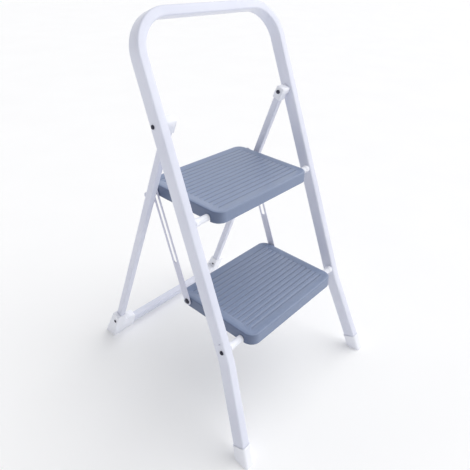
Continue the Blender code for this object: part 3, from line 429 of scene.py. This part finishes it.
def swept(name, path, section, normal):
    """A section carried along a path that lies in the plane square to normal; mitred at each point."""
    points = [Vector(p) for p in path]
    normal = Vector(normal).normalized()
    loops = []
    for i, point in enumerate(points):
        before = (point - points[i - 1]).normalized() if i else None
        after = (points[i + 1] - point).normalized() if i + 1 < len(points) else None
        along = ((before or after) + (after or before)).normalized()
        across = along.cross(normal)
        stretch = 1 / max(0.3, along.dot(after or before))
        loops.append([point + across * (q.x * stretch) + normal * q.y for q in section])
    return lofted(name, loops)


def turned(name, profile, centre, direction=1, steps=48):
    """A closed profile of (radius, place along X) points turned about the X axis through centre."""
    bm = bmesh.new()
    loops = []
    for k in range(steps):
        angle = 2 * math.pi * k / steps
        loops.append([
            (direction * along, centre.y + radius * math.cos(angle), centre.z + radius * math.sin(angle))
            for radius, along in profile
        ])
    rows = [[bm.verts.new(point) for point in loop] for loop in loops]
    for i in range(steps):
        low, high = rows[i], rows[(i + 1) % steps]
        for j in range(len(profile)):
            k = (j + 1) % len(profile)
            if profile[j][0] > 0 or profile[k][0] > 0:
                bm.faces.new((low[j], low[k], high[k], high[j]))
    outward(bm)
    bmesh.ops.dissolve_degenerate(bm, dist=SAME_POINT, edges=bm.edges)
    return new_object(name, bm)


def extruded(name, outline, x_from, x_to):
    """A flat outline in (y, z) made solid between two places across the stool."""
    return lofted(name, [[(x, q.x, q.y) for q in outline] for x in (x_from, x_to)])


def softened(obj, width, segments, angle=35):
    """Rounds the sharp edges of a moulded or cut piece."""
    modifier = obj.modifiers.new("edge", "BEVEL")
    modifier.width = width
    modifier.segments = segments
    modifier.limit_method = "ANGLE"
    modifier.angle_limit = math.radians(angle)
    return baked(obj)


def finer_copy(node, name, width):
    """A merged copy of a plain node, with flat faces cleaned up and its sharp edges rounded."""
    bm = bmesh.new()
    bm.from_mesh(frame["nodes"][node].data)
    bmesh.ops.remove_doubles(bm, verts=bm.verts, dist=0.000001)
    bmesh.ops.dissolve_limit(bm, angle_limit=math.radians(0.5), verts=bm.verts, edges=bm.edges)
    return softened(new_object(name, bm), width, 2)


def node_tree(name, sizes):
    """A geometry tree with one input for each named size, and its group nodes."""
    tree = bpy.data.node_groups.new(name, "GeometryNodeTree")
    tree.interface.new_socket("Geometry", in_out="OUTPUT", socket_type="NodeSocketGeometry")
    for size, (kind, default) in sizes.items():
        made = tree.interface.new_socket(size, in_out="INPUT", socket_type=kind)
        made.default_value = default
    return tree, tree.nodes.new("NodeGroupInput"), tree.nodes.new("NodeGroupOutput")


def grown(name, tree, values):
    """A plain mesh object from a geometry tree, with the tree's named inputs set."""
    obj = bpy.data.objects.new(name, bpy.data.meshes.new(name))
    modifier = obj.modifiers.new("tree", "NODES")
    modifier.node_group = tree
    for item in tree.interface.items_tree:
        if item.item_type == "SOCKET" and item.in_out == "INPUT" and item.name in values:
            modifier[item.identifier] = values[item.name]
    return baked(obj)


def dome(radius, face, height):
    """Profile points of a low domed head that stands on a face."""
    angles = [math.radians(10 + 80 * k / 8) for k in range(8)]
    points = [(radius * math.cos(a), face + height * (0.25 + 0.75 * math.sin(a))) for a in angles]
    return points + [(0.0, face + height)]


# ---------------------------------------------------------------- front frame

UP_LEG = Vector((0, math.sin(FRONT_LEAN), math.cos(FRONT_LEAN)))
BEHIND = Vector((0, math.cos(FRONT_LEAN), -math.sin(FRONT_LEAN)))
RAIL_POINT = UPPER_PIVOT + BEHIND * PIVOT_AHEAD
RAIL_FOOT = RAIL_POINT - UP_LEG * (RAIL_POINT.z / math.cos(FRONT_LEAN))
BEND_UP = BEND_HEIGHT / math.cos(FRONT_LEAN)
LEG_SLOPE = FOOT_SPREAD / BEND_UP


def on_rail(x, up, behind=0.0):
    """A point this far up the front legs' line from the floor, and this far behind it."""
    return RAIL_FOOT + Vector((x, 0, 0)) + UP_LEG * up + BEHIND * behind


def rail():
    """The bent tube that makes both front legs and the hand rail."""
    highest = CAD_HIGH.z - TUBE_CORNER - (TUBE_DEPTH / 2 - TUBE_CORNER) * math.sin(FRONT_LEAN)
    top = highest / math.cos(FRONT_LEAN) + TUBE_CORNER - TUBE_WIDTH / 2
    half = [
        (LEG_X + (BEND_UP - RAIL_END) * LEG_SLOPE, RAIL_END, 0),
        (LEG_X, BEND_UP, LEG_RADIUS),
        (LEG_X, top, HOOP_RADIUS),
    ]
    corners = half + [(-x, up, radius) for x, up, radius in reversed(half)]
    path = [on_rail(q.x, q.y) for q in rounded(corners, closed=False, steps=28)]
    section = rectangle(TUBE_WIDTH / 2, TUBE_DEPTH / 2, TUBE_CORNER, steps=7)
    tube = swept("front_rail", path, section, BEHIND)
    dimple_up = (LOWER_PIVOT.z + DIMPLE_ABOVE) / math.cos(FRONT_LEAN)
    for sign in SIDES.values():
        pit = bmesh.new()
        place = on_rail(sign * (LEG_X + TUBE_WIDTH / 2), dimple_up, -PIVOT_AHEAD)
        bmesh.ops.create_uvsphere(pit, u_segments=24, v_segments=16, radius=DIMPLE_RADIUS,
                                  matrix=Matrix.Translation(place))
        boolean(tube, new_object("pit", pit))
    as_piece(tube, "front_frame", PAINT, "front_hoop")


def foot_cap(side, sign):
    """A moulded sleeve on the end of a front leg: a slightly tapered body below a raised collar."""
    half_x = TUBE_WIDTH / 2 + CAP_WALL
    half_y = TUBE_DEPTH / 2 + CAP_WALL
    stations = [(-0.008, 0.0003), (0.006, 0.0002)]  # up the leg, how far proud of the body
    for below, proud in ((0.0055, -0.0004), (0.0052, -0.0002), (0.0048, 0.0001), (0.0040, 0.0003),
                         (0.0012, 0.0003), (0.0005, 0.0001), (0.0001, -0.0004), (0.0, -0.0010)):
        stations.append((CAP_LENGTH - below, proud))
    loops = []
    for up, proud in stations:
        x = LEG_X + (BEND_UP - up) * LEG_SLOPE
        section = rectangle(half_x + proud, half_y + proud, TUBE_CORNER + CAP_WALL + proud, steps=9)
        loops.append([on_rail(sign * x + q.x, up, q.y) for q in section])
    inner = rectangle(TUBE_WIDTH / 2 + GAP, TUBE_DEPTH / 2 + GAP, TUBE_CORNER, steps=9)
    for up in (CAP_LENGTH - 0.0003, CAP_SOCKET):
        x = LEG_X + (BEND_UP - up) * LEG_SLOPE
        loops.append([on_rail(sign * x + q.x, up, q.y) for q in inner])
    cap = lofted(f"front_cap_{side}", loops)
    slab = bmesh.new()
    bmesh.ops.create_cube(slab, size=0.2, matrix=Matrix.Translation((sign * 0.22, RAIL_FOOT.y, -0.1)))
    boolean(cap, new_object("below_floor", slab))
    softened(cap, 0.0007, 3, angle=50)
    as_piece(cap, "front_frame", WHITE, f"front_foot_{side}")


def cross_recess(screw, radius, height, tip):
    """Cuts a cross into a screw's head, centred on the head's tip."""
    long, short = radius * 1.05, radius * 0.24
    for size in ((height * 0.9, short, long), (height * 0.9, long, short)):
        slot = bmesh.new()
        bmesh.ops.create_cube(slot, size=1.0)
        bmesh.ops.scale(slot, vec=size, verts=slot.verts)
        boolean(screw, new_object("recess", slot, Matrix.Translation(tip)))


def spacer(name, centre, sign, node):
    """The plastic sleeve between a step and the leg, with a collar beside the leg."""
    low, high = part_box(node)
    inner_end, outer_end = sorted((abs(low.x), abs(high.x)))
    bore, barrel, collar = SPACER_BORE, SPACER_RADIUS, COLLAR_RADIUS
    start = outer_end - COLLAR_LENGTH
    profile = [
        (bore, inner_end), (barrel - 0.0005, inner_end), (barrel, inner_end + 0.0005),
        (barrel, start - 0.0012), (barrel + 0.0003, start - 0.0006), (collar - 0.0004, start - 0.0002),
        (collar, start + 0.0004), (collar, outer_end - 0.0006), (collar - 0.0006, outer_end),
        (bore, outer_end),
    ]
    as_piece(turned(name, profile, centre, sign), "front_frame", WHITE, node)


def pivot_tube(name, node, centre):
    """A round tube from leg to leg with eased outer edges."""
    low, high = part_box(node)
    radius, bore = PIVOT_TUBE_RADIUS, PIVOT_TUBE_BORE
    profile = [
        (bore, low.x), (radius - 0.0003, low.x), (radius, low.x + 0.0003),
        (radius, high.x - 0.0003), (radius - 0.0003, high.x), (bore, high.x),
    ]
    as_piece(turned(name, profile, centre), "front_frame", PAINT, node)


# ---------------------------------------------------------------- rear frame

UP_REAR = Vector((0, -math.sin(REAR_LEAN), math.cos(REAR_LEAN)))
REAR_BACK = Vector((0, math.cos(REAR_LEAN), math.sin(REAR_LEAN)))
REAR_LENGTH = HINGE.z / math.cos(REAR_LEAN)


def on_rear(x, up, back=0.0):
    """A point this far up from the hinge along the rear leg's line, and this far behind it."""
    return HINGE + Vector((x, 0, 0)) + UP_REAR * up + REAR_BACK * back


def rear_leg(side, sign):
    """A rectangular tube, open at both ends inside its bracket and its foot."""
    ends = (LEG_TOP, -REAR_LENGTH + LEG_FOOT)
    slope = REAR_SPLAY / REAR_LENGTH
    outer = rectangle(REAR_WIDTH / 2, REAR_DEPTH / 2, REAR_CORNER, steps=6)
    inner = rectangle(REAR_WIDTH / 2 - REAR_WALL, REAR_DEPTH / 2 - REAR_WALL, REAR_CORNER - REAR_WALL, steps=6)
    loops = []
    for section, order in ((outer, ends), (inner, ends[::-1])):
        for up in order:
            x = sign * (REAR_X - up * slope)
            loops.append([on_rear(x + q.x, up, q.y) for q in section])
    leg = lofted(f"rear_leg_tube_{side}", loops, around=True)
    as_piece(leg, "rear_frame", PAINT, f"rear_leg_{side}")


def crossbar():
    """The wide tube between the rear feet."""
    low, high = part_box("rear_crossbar")
    half_depth = REAR_DEPTH / 2
    centre = (low + high) / 2
    up = (centre - HINGE).dot(UP_REAR)
    back = (centre - HINGE).dot(REAR_BACK)
    outer = rectangle(half_depth, BAR_HEIGHT / 2, REAR_CORNER, steps=6)
    inner = rectangle(half_depth - REAR_WALL, BAR_HEIGHT / 2 - REAR_WALL, REAR_CORNER - REAR_WALL, steps=6)
    loops = []
    for section, ends in ((outer, (low.x, high.x)), (inner, (high.x, low.x))):
        for x in ends:
            loops.append([on_rear(x, up + q.y, back + q.x) for q in section])
    as_piece(lofted("rear_crossbar_tube", loops, around=True), "rear_frame", PAINT, "rear_crossbar")


def support_rod():
    """The plain rod with eased ends that the upper step rests on."""
    low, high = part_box("support_rod")
    radius = (high.z - low.z) / 2
    centre = Vector((0, (low.y + high.y) / 2, (low.z + high.z) / 2))
    profile = [(0.0, low.x), (radius - 0.0008, low.x), (radius, low.x + 0.0008),
               (radius, high.x - 0.0008), (radius - 0.0008, high.x), (0.0, high.x)]
    as_piece(turned("support_rod_bar", profile, centre), "rear_frame", PAINT, "support_rod")


# ---------------------------------------------------------------- steps

def tread_loop(half_x, half_y, corner, z, centre):
    return [(q.x, centre.y + q.y, z) for q in rectangle(half_x, half_y, corner, steps=12)]


def close_tree(tree, points, shape, out):
    """Ends a tree: a copy of the shape at each point, made real and given the step's finish."""
    nodes, links = tree.nodes, tree.links
    copies = nodes.new("GeometryNodeInstanceOnPoints")
    links.new(points, copies.inputs["Points"])
    links.new(shape, copies.inputs["Instance"])
    real = nodes.new("GeometryNodeRealizeInstances")
    links.new(copies.outputs["Instances"], real.inputs["Geometry"])
    finish = nodes.new("GeometryNodeSetMaterial")
    finish.inputs["Material"].default_value = STEP
    links.new(real.outputs["Geometry"], finish.inputs["Geometry"])
    links.new(finish.outputs["Geometry"], out.inputs["Geometry"])


def groove_tree():
    """Rows of round-ended bars, one for each groove of a tread."""
    sizes = {
        "Count": ("NodeSocketInt", GROOVES),
        "Pitch": ("NodeSocketFloat", 0.0134),
        "Half length": ("NodeSocketFloat", 0.12),
        "Radius": ("NodeSocketFloat", GROOVE_RADIUS),
        "First": ("NodeSocketVector", (0, 0, 0)),
    }
    tree, given, out = node_tree("tread_grooves", sizes)
    nodes, links = tree.nodes, tree.links
    value = {name: given.outputs[name] for name in sizes}
    step = nodes.new("ShaderNodeCombineXYZ")
    links.new(value["Pitch"], step.inputs["Y"])
    line = nodes.new("GeometryNodeMeshLine")
    line.mode = "OFFSET"
    links.new(value["Count"], line.inputs["Count"])
    links.new(value["First"], line.inputs["Start Location"])
    links.new(step.outputs["Vector"], line.inputs["Offset"])
    ball = nodes.new("GeometryNodeMeshUVSphere")
    ball.inputs["Segments"].default_value = 24
    ball.inputs["Rings"].default_value = 12
    links.new(value["Radius"], ball.inputs["Radius"])
    spin = nodes.new("GeometryNodeTransform")
    links.new(ball.outputs["Mesh"], spin.inputs["Geometry"])
    spin.inputs["Rotation"].default_value = (0, math.pi / 2, 0)
    here = nodes.new("GeometryNodeInputPosition")
    apart = nodes.new("ShaderNodeSeparateXYZ")
    links.new(here.outputs["Position"], apart.inputs["Vector"])
    side = nodes.new("ShaderNodeMath")
    side.operation = "SIGN"
    nudge = nodes.new("ShaderNodeMath")
    nudge.operation = "ADD"
    nudge.inputs[1].default_value = 0.00001
    links.new(apart.outputs["X"], nudge.inputs[0])
    links.new(nudge.outputs[0], side.inputs[0])
    reach = nodes.new("ShaderNodeMath")
    reach.operation = "MULTIPLY"
    links.new(side.outputs[0], reach.inputs[0])
    links.new(value["Half length"], reach.inputs[1])
    shift = nodes.new("ShaderNodeCombineXYZ")
    links.new(reach.outputs[0], shift.inputs["X"])
    stretch = nodes.new("GeometryNodeSetPosition")
    links.new(spin.outputs["Geometry"], stretch.inputs["Geometry"])
    links.new(shift.outputs["Vector"], stretch.inputs["Offset"])
    close_tree(tree, line.outputs["Mesh"], stretch.outputs["Geometry"], out)
    return tree


def rib_tree():
    """Rows of upright plates that stiffen a tread from below."""
    sizes = {
        "Count": ("NodeSocketInt", 4),
        "Start": ("NodeSocketVector", (0, 0, 0)),
        "Step": ("NodeSocketVector", (0.05, 0, 0)),
        "Size": ("NodeSocketVector", (0.004, 0.2, 0.02)),
    }
    tree, given, out = node_tree("underside_ribs", sizes)
    nodes, links = tree.nodes, tree.links
    line = nodes.new("GeometryNodeMeshLine")
    line.mode = "OFFSET"
    links.new(given.outputs["Count"], line.inputs["Count"])
    links.new(given.outputs["Start"], line.inputs["Start Location"])
    links.new(given.outputs["Step"], line.inputs["Offset"])
    plate = nodes.new("GeometryNodeMeshCube")
    links.new(given.outputs["Size"], plate.inputs["Size"])
    close_tree(tree, line.outputs["Mesh"], plate.outputs["Mesh"], out)
    return tree


GROOVE_TREE = groove_tree()
RIB_TREE = rib_tree()


def paint_wear_and_shade(obj, field, centre, half_x, half_y):
    """Marks how pale each point is: the ribs most, as wear; the grooves less and the left and right sides
    least, as painted shade.
    """
    wear_and_shade = obj.data.attributes.new("wear_and_shade", "FLOAT", "POINT")
    for vertex, mark in zip(obj.data.vertices, wear_and_shade.data):
        across = abs(vertex.co.x) / half_x
        if vertex.co.z > field - 0.0002:
            # worn top and rib crests, palest
            mark.value = 1.0
        elif vertex.co.z > field - 0.0012 and across < 0.95:
            # painted shade in the grooves
            mark.value = 0.45
        else:
            # painted shade on the left and right sides, less on the front and back
            turn = min(1.0, max(0.0, (across - 0.84) / 0.155))
            mark.value = 0.75 - 0.60 * turn * turn * (3 - 2 * turn)


def tread(name, body, node, pivot):
    """A moulded step: rolled top edge, drafted skirt with a bead, grooves above and ribs below."""
    low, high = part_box(node)
    top = high.z
    half_x, half_y = (high.x - low.x) / 2, (high.y - low.y) / 2
    centre = (low + high) / 2
    draft = 0.0004
    field = top - FIELD_DROP
    loops = []
    for inset, z in ((0.030, field), (0.0108, field), (0.0102, field + 0.0001), (0.0094, top - 0.0001),
                     (0.0088, top), (0.0060, top)):
        corner = max(0.001, STEP_CORNER - inset)
        loops.append(tread_loop(half_x - inset, half_y - inset, corner, z, centre))
    for k in range(9):
        angle = math.radians(90 * k / 8)
        inset = STEP_EDGE * (1 - math.sin(angle)) + draft
        z = top - STEP_EDGE * (1 - math.cos(angle))
        loops.append(tread_loop(half_x - inset, half_y - inset, STEP_CORNER - inset, z, centre))
    bottom = top - SKIRT
    for inset, z in ((0.0001, bottom + 0.0024), (0.0, bottom + 0.0020), (0.0, bottom + 0.0006),
                     (0.0005, bottom), (STEP_WALL - 0.0005, bottom), (STEP_WALL, bottom + 0.0006),
                     (STEP_WALL, top - STEP_WALL - 0.002), (STEP_WALL + 0.002, top - STEP_WALL)):
        loops.append(tread_loop(half_x - inset, half_y - inset, STEP_CORNER - inset, z, centre))
    shell = lofted(name, loops)
    pitch = (2 * half_y - 2 * TREAD_BORDER) / (GROOVES - 1)
    cutters = grown(f"{name}_groove_cutters", GROOVE_TREE, {
        "Count": GROOVES,
        "Pitch": pitch,
        "Half length": half_x - TREAD_BORDER,
        "Radius": GROOVE_RADIUS,
        "First": (0, centre.y - half_y + TREAD_BORDER, field + GROOVE_LIFT),
    })
    boolean(shell, cutters)
    rib_height = SKIRT - STEP_WALL - 0.002
    side_x = half_x - RIB_INSET
    middle = top - STEP_WALL - rib_height / 2 + RIB_SUNK
    into_corner = STEP_CORNER - (RIB_INSET - LONG_RIB / 2)  # of the outer ribs' outer faces
    corner_edge = STEP_CORNER - math.sqrt(STEP_CORNER ** 2 - into_corner ** 2)
    outer_pair = (2 * side_x, corner_edge + STEP_WALL / 2)
    inner_pair = (2 * side_x / 3, STEP_WALL - 0.0005)
    for spacing, short in (outer_pair, inner_pair):
        lengthways = grown(f"{name}_lengthways", RIB_TREE, {
            "Count": 2,
            "Start": (-spacing / 2, centre.y, middle),
            "Step": (spacing, 0, 0),
            "Size": (LONG_RIB, 2 * (half_y - short), rib_height),
        })
        boolean(shell, lengthways, "UNION")
    shallow = rib_height * 0.55
    crossways = grown(f"{name}_crossways", RIB_TREE, {
        "Count": 3,
        "Start": (0, centre.y - half_y * 0.45, top - STEP_WALL - shallow / 2 + RIB_SUNK),
        "Step": (0, half_y * 0.50, 0),
        "Size": (2 * side_x, CROSS_RIB, shallow),
    })
    boolean(shell, crossways, "UNION")
    radius = BEARING_RADIUS
    bore = turned("bore", [(0.0, -side_x - 0.006), (radius, -side_x - 0.006),
                           (radius, side_x + 0.006), (0.0, side_x + 0.006)], pivot, steps=40)
    boolean(shell, bore)
    for sign in SIDES.values():
        arc = [math.pi * k / 16 for k in range(17)]
        notch = [Vector((pivot.y + radius * math.cos(a), pivot.z + radius * math.sin(a))) for a in arc]
        notch += [Vector((pivot.y - radius, bottom - 0.01)), Vector((pivot.y + radius, bottom - 0.01))]
        ends = sorted((sign * (half_x - STEP_WALL - 0.0015), sign * (half_x + 0.01)))
        boolean(shell, extruded("notch", notch, *ends))
    # wear on the ribs, painted shade in the grooves and on the sides
    paint_wear_and_shade(shell, field, centre, half_x, half_y)
    as_piece(shell, body, STEP, node)


# ---------------------------------------------------------------- links and fasteners

def link_bar(side):
    """A flat slotted bar with eased edges."""
    bar = finer_copy(f"{side}_link_bar", f"link_bar_{side}", 0.0004)
    as_piece(bar, f"{side}_link", LINK_PAINT, f"{side}_link_bar")


def small_parts(side):
    """Moulded and pressed pieces whose plain shape is right: finer edges and their finish."""
    pieces = [
        (f"hinge_bracket_{side}", "rear_frame", WHITE, 0.0005),
        (f"rear_corner_foot_{side}", "rear_frame", WHITE, 0.0007),
        (f"rod_tab_{side}", "rear_frame", PAINT, 0.0003),
        (f"rod_hook_{side}", "upper_step", STEP, 0.0004),
        (f"hook_screw_{side}", "upper_step", ZINC, 0.0002),
        (f"lower_tube_plug_{side}", "front_frame", ZINC, 0.0002),
        (f"link_upper_pin_{side}", "upper_step", BLACK, 0.0002),
        (f"link_lower_rivet_{side}", "lower_step", BLACK, 0.0002),
        (f"rear_foot_rivet_{side}", "rear_frame", BLACK, 0.0002),
    ]
    for node, body, material, width in pieces:
        as_piece(finer_copy(node, f"{node}_finished", width), body, material, node)


def inner_and_radius(node):
    """How far from the middle a bolt or screw starts, and the radius of its head."""
    low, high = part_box(node)
    return min(abs(low.x), abs(high.x)), (high.z - low.z) / 2


def fasteners(side, sign):
    """A cross-headed screw at the lower pivot and a bolt with a domed nut at the hinge."""
    face = LEG_X + TUBE_WIDTH / 2 + GAP
    inner, radius = inner_and_radius(f"lower_tube_screw_{side}")
    profile = [(0.0, inner), (SCREW_SHANK, inner), (SCREW_SHANK, face), (radius, face)]
    profile += dome(radius, face, SCREW_HEAD)
    screw = turned(f"lower_screw_{side}", profile, LOWER_PIVOT, sign)
    tip = Vector((sign * (face + SCREW_HEAD), LOWER_PIVOT.y, LOWER_PIVOT.z))
    cross_recess(screw, radius, SCREW_HEAD, tip)
    as_piece(screw, "front_frame", BLACK, f"lower_tube_screw_{side}")

    inner, radius = inner_and_radius(f"hinge_bolt_{side}")
    radius -= 0.00005
    nut_face = inner + NUT_LENGTH
    profile = [(0.0, inner), (0.0026, inner), (0.0042, inner + 0.0008), (NUT_RADIUS, inner + 0.0016),
               (NUT_RADIUS, nut_face), (BOLT_SHANK, nut_face), (BOLT_SHANK, face), (radius, face)]
    profile += dome(radius, face, BOLT_HEAD)
    bolt = turned(f"hinge_bolt_{side}_turned", profile, HINGE, sign)
    as_piece(bolt, "front_frame", BLACK, f"hinge_bolt_{side}")


rail()
pivot_tube("upper_step_tube", "upper_pivot_tube", UPPER_PIVOT)
pivot_tube("lower_step_tube", "lower_pivot_tube", LOWER_PIVOT)
crossbar()
support_rod()
tread("upper_step_moulding", "upper_step", "upper_tread", UPPER_PIVOT)
tread("lower_step_moulding", "lower_step", "lower_tread", LOWER_PIVOT)
for side, sign in SIDES.items():
    foot_cap(side, sign)
    spacer(f"upper_sleeve_{side}", UPPER_PIVOT, sign, f"upper_spacer_{side}")
    spacer(f"lower_sleeve_{side}", LOWER_PIVOT, sign, f"lower_spacer_{side}")
    rear_leg(side, sign)
    link_bar(side)
    small_parts(side)
    fasteners(side, sign)


# ---------------------------------------------------------------- camera, floor and light

CAMERA_TURN = (-50.691, 26.737, 3.0)  # yaw, pitch and roll in degrees, fitted to the photo
CAMERA_PLACE = Vector((-0.7305, RAIL_FOOT.y - 0.4019, 0.9530))
CAMERA_LENS = 37.19
CAMERA_SHIFT = (-0.0397, -0.0946)


def camera():
    """A front left view from a little above the hand rail, with a slight roll."""
    yaw, pitch, roll = (math.radians(angle) for angle in CAMERA_TURN)
    back = Vector((math.sin(yaw) * math.cos(pitch), -math.cos(yaw) * math.cos(pitch), math.sin(pitch)))
    right = Vector((math.cos(yaw), math.sin(yaw), 0))
    up = back.cross(right)
    across = math.cos(roll) * right + math.sin(roll) * up
    upright = -math.sin(roll) * right + math.cos(roll) * up
    data = bpy.data.cameras.new("camera")
    data.sensor_width = 36.0
    data.lens = CAMERA_LENS
    data.shift_x, data.shift_y = CAMERA_SHIFT
    made = bpy.data.objects.new("camera", data)
    made.matrix_world = Matrix((
        (across.x, upright.x, back.x, CAMERA_PLACE.x),
        (across.y, upright.y, back.y, CAMERA_PLACE.y),
        (across.z, upright.z, back.z, CAMERA_PLACE.z),
        (0, 0, 0, 1),
    ))
    bpy.context.scene.collection.objects.link(made)
    bpy.context.scene.camera = made


def floor():
    bm = bmesh.new()
    bmesh.ops.create_grid(bm, x_segments=1, y_segments=1, size=12.0)
    sheet = new_object("floor", bm)
    sheet.data.materials.append(floor_sheet())
    bpy.context.scene.collection.objects.link(sheet)


def soft_sun():
    """One broad, very soft light from above the front right."""
    data = bpy.data.lights.new("soft_key", "SUN")
    data.energy = 0.50 * math.pi
    data.angle = math.radians(75)
    data.color = (1.0, 0.995, 0.985)
    made = bpy.data.objects.new("soft_key", data)
    made.rotation_euler = Vector((0.606, -0.316, 0.73)).to_track_quat("Z", "Y").to_euler()
    bpy.context.scene.collection.objects.link(made)


def surround():
    """A surround that looks white to the camera: bright low down, dimmer overhead and to the left."""
    world = bpy.data.worlds.new("surround")
    world.use_nodes = True
    nodes, links = world.node_tree.nodes, world.node_tree.links
    lit = nodes["Background"]
    lit.inputs["Color"].default_value = (0.975, 0.98, 1.0, 1.0)
    direction = nodes.new("ShaderNodeTexCoord").outputs["Generated"]
    parts = nodes.new("ShaderNodeSeparateXYZ")
    links.new(direction, parts.inputs["Vector"])
    strength = None
    for axis, ends, levels in (("Z", (0.40, 0.62), (1.10, 0.64)), ("X", (-1.0, 0.3), (-0.34, 0.0))):
        band = nodes.new("ShaderNodeMapRange")
        band.interpolation_type = "SMOOTHSTEP"
        links.new(parts.outputs[axis], band.inputs["Value"])
        for place, value in zip(("From Min", "From Max", "To Min", "To Max"), ends + levels):
            band.inputs[place].default_value = value
        if strength is None:
            strength = band.outputs["Result"]
            continue
        total = nodes.new("ShaderNodeMath")
        links.new(strength, total.inputs[0])
        links.new(band.outputs["Result"], total.inputs[1])
        links.new(total.outputs["Value"], lit.inputs["Strength"])
    seen = nodes.new("ShaderNodeBackground")
    seen.inputs["Color"].default_value = (1.0, 1.0, 1.0, 1.0)
    seen.inputs["Strength"].default_value = 1.0
    path = nodes.new("ShaderNodeLightPath")
    mix = nodes.new("ShaderNodeMixShader")
    links.new(path.outputs["Is Camera Ray"], mix.inputs["Fac"])
    links.new(lit.outputs["Background"], mix.inputs[1])
    links.new(seen.outputs["Background"], mix.inputs[2])
    links.new(mix.outputs["Shader"], nodes["World Output"].inputs["Surface"])
    bpy.context.scene.world = world
    bpy.context.scene.view_settings.view_transform = "Standard"


camera()
floor()
soft_sun()
surround()
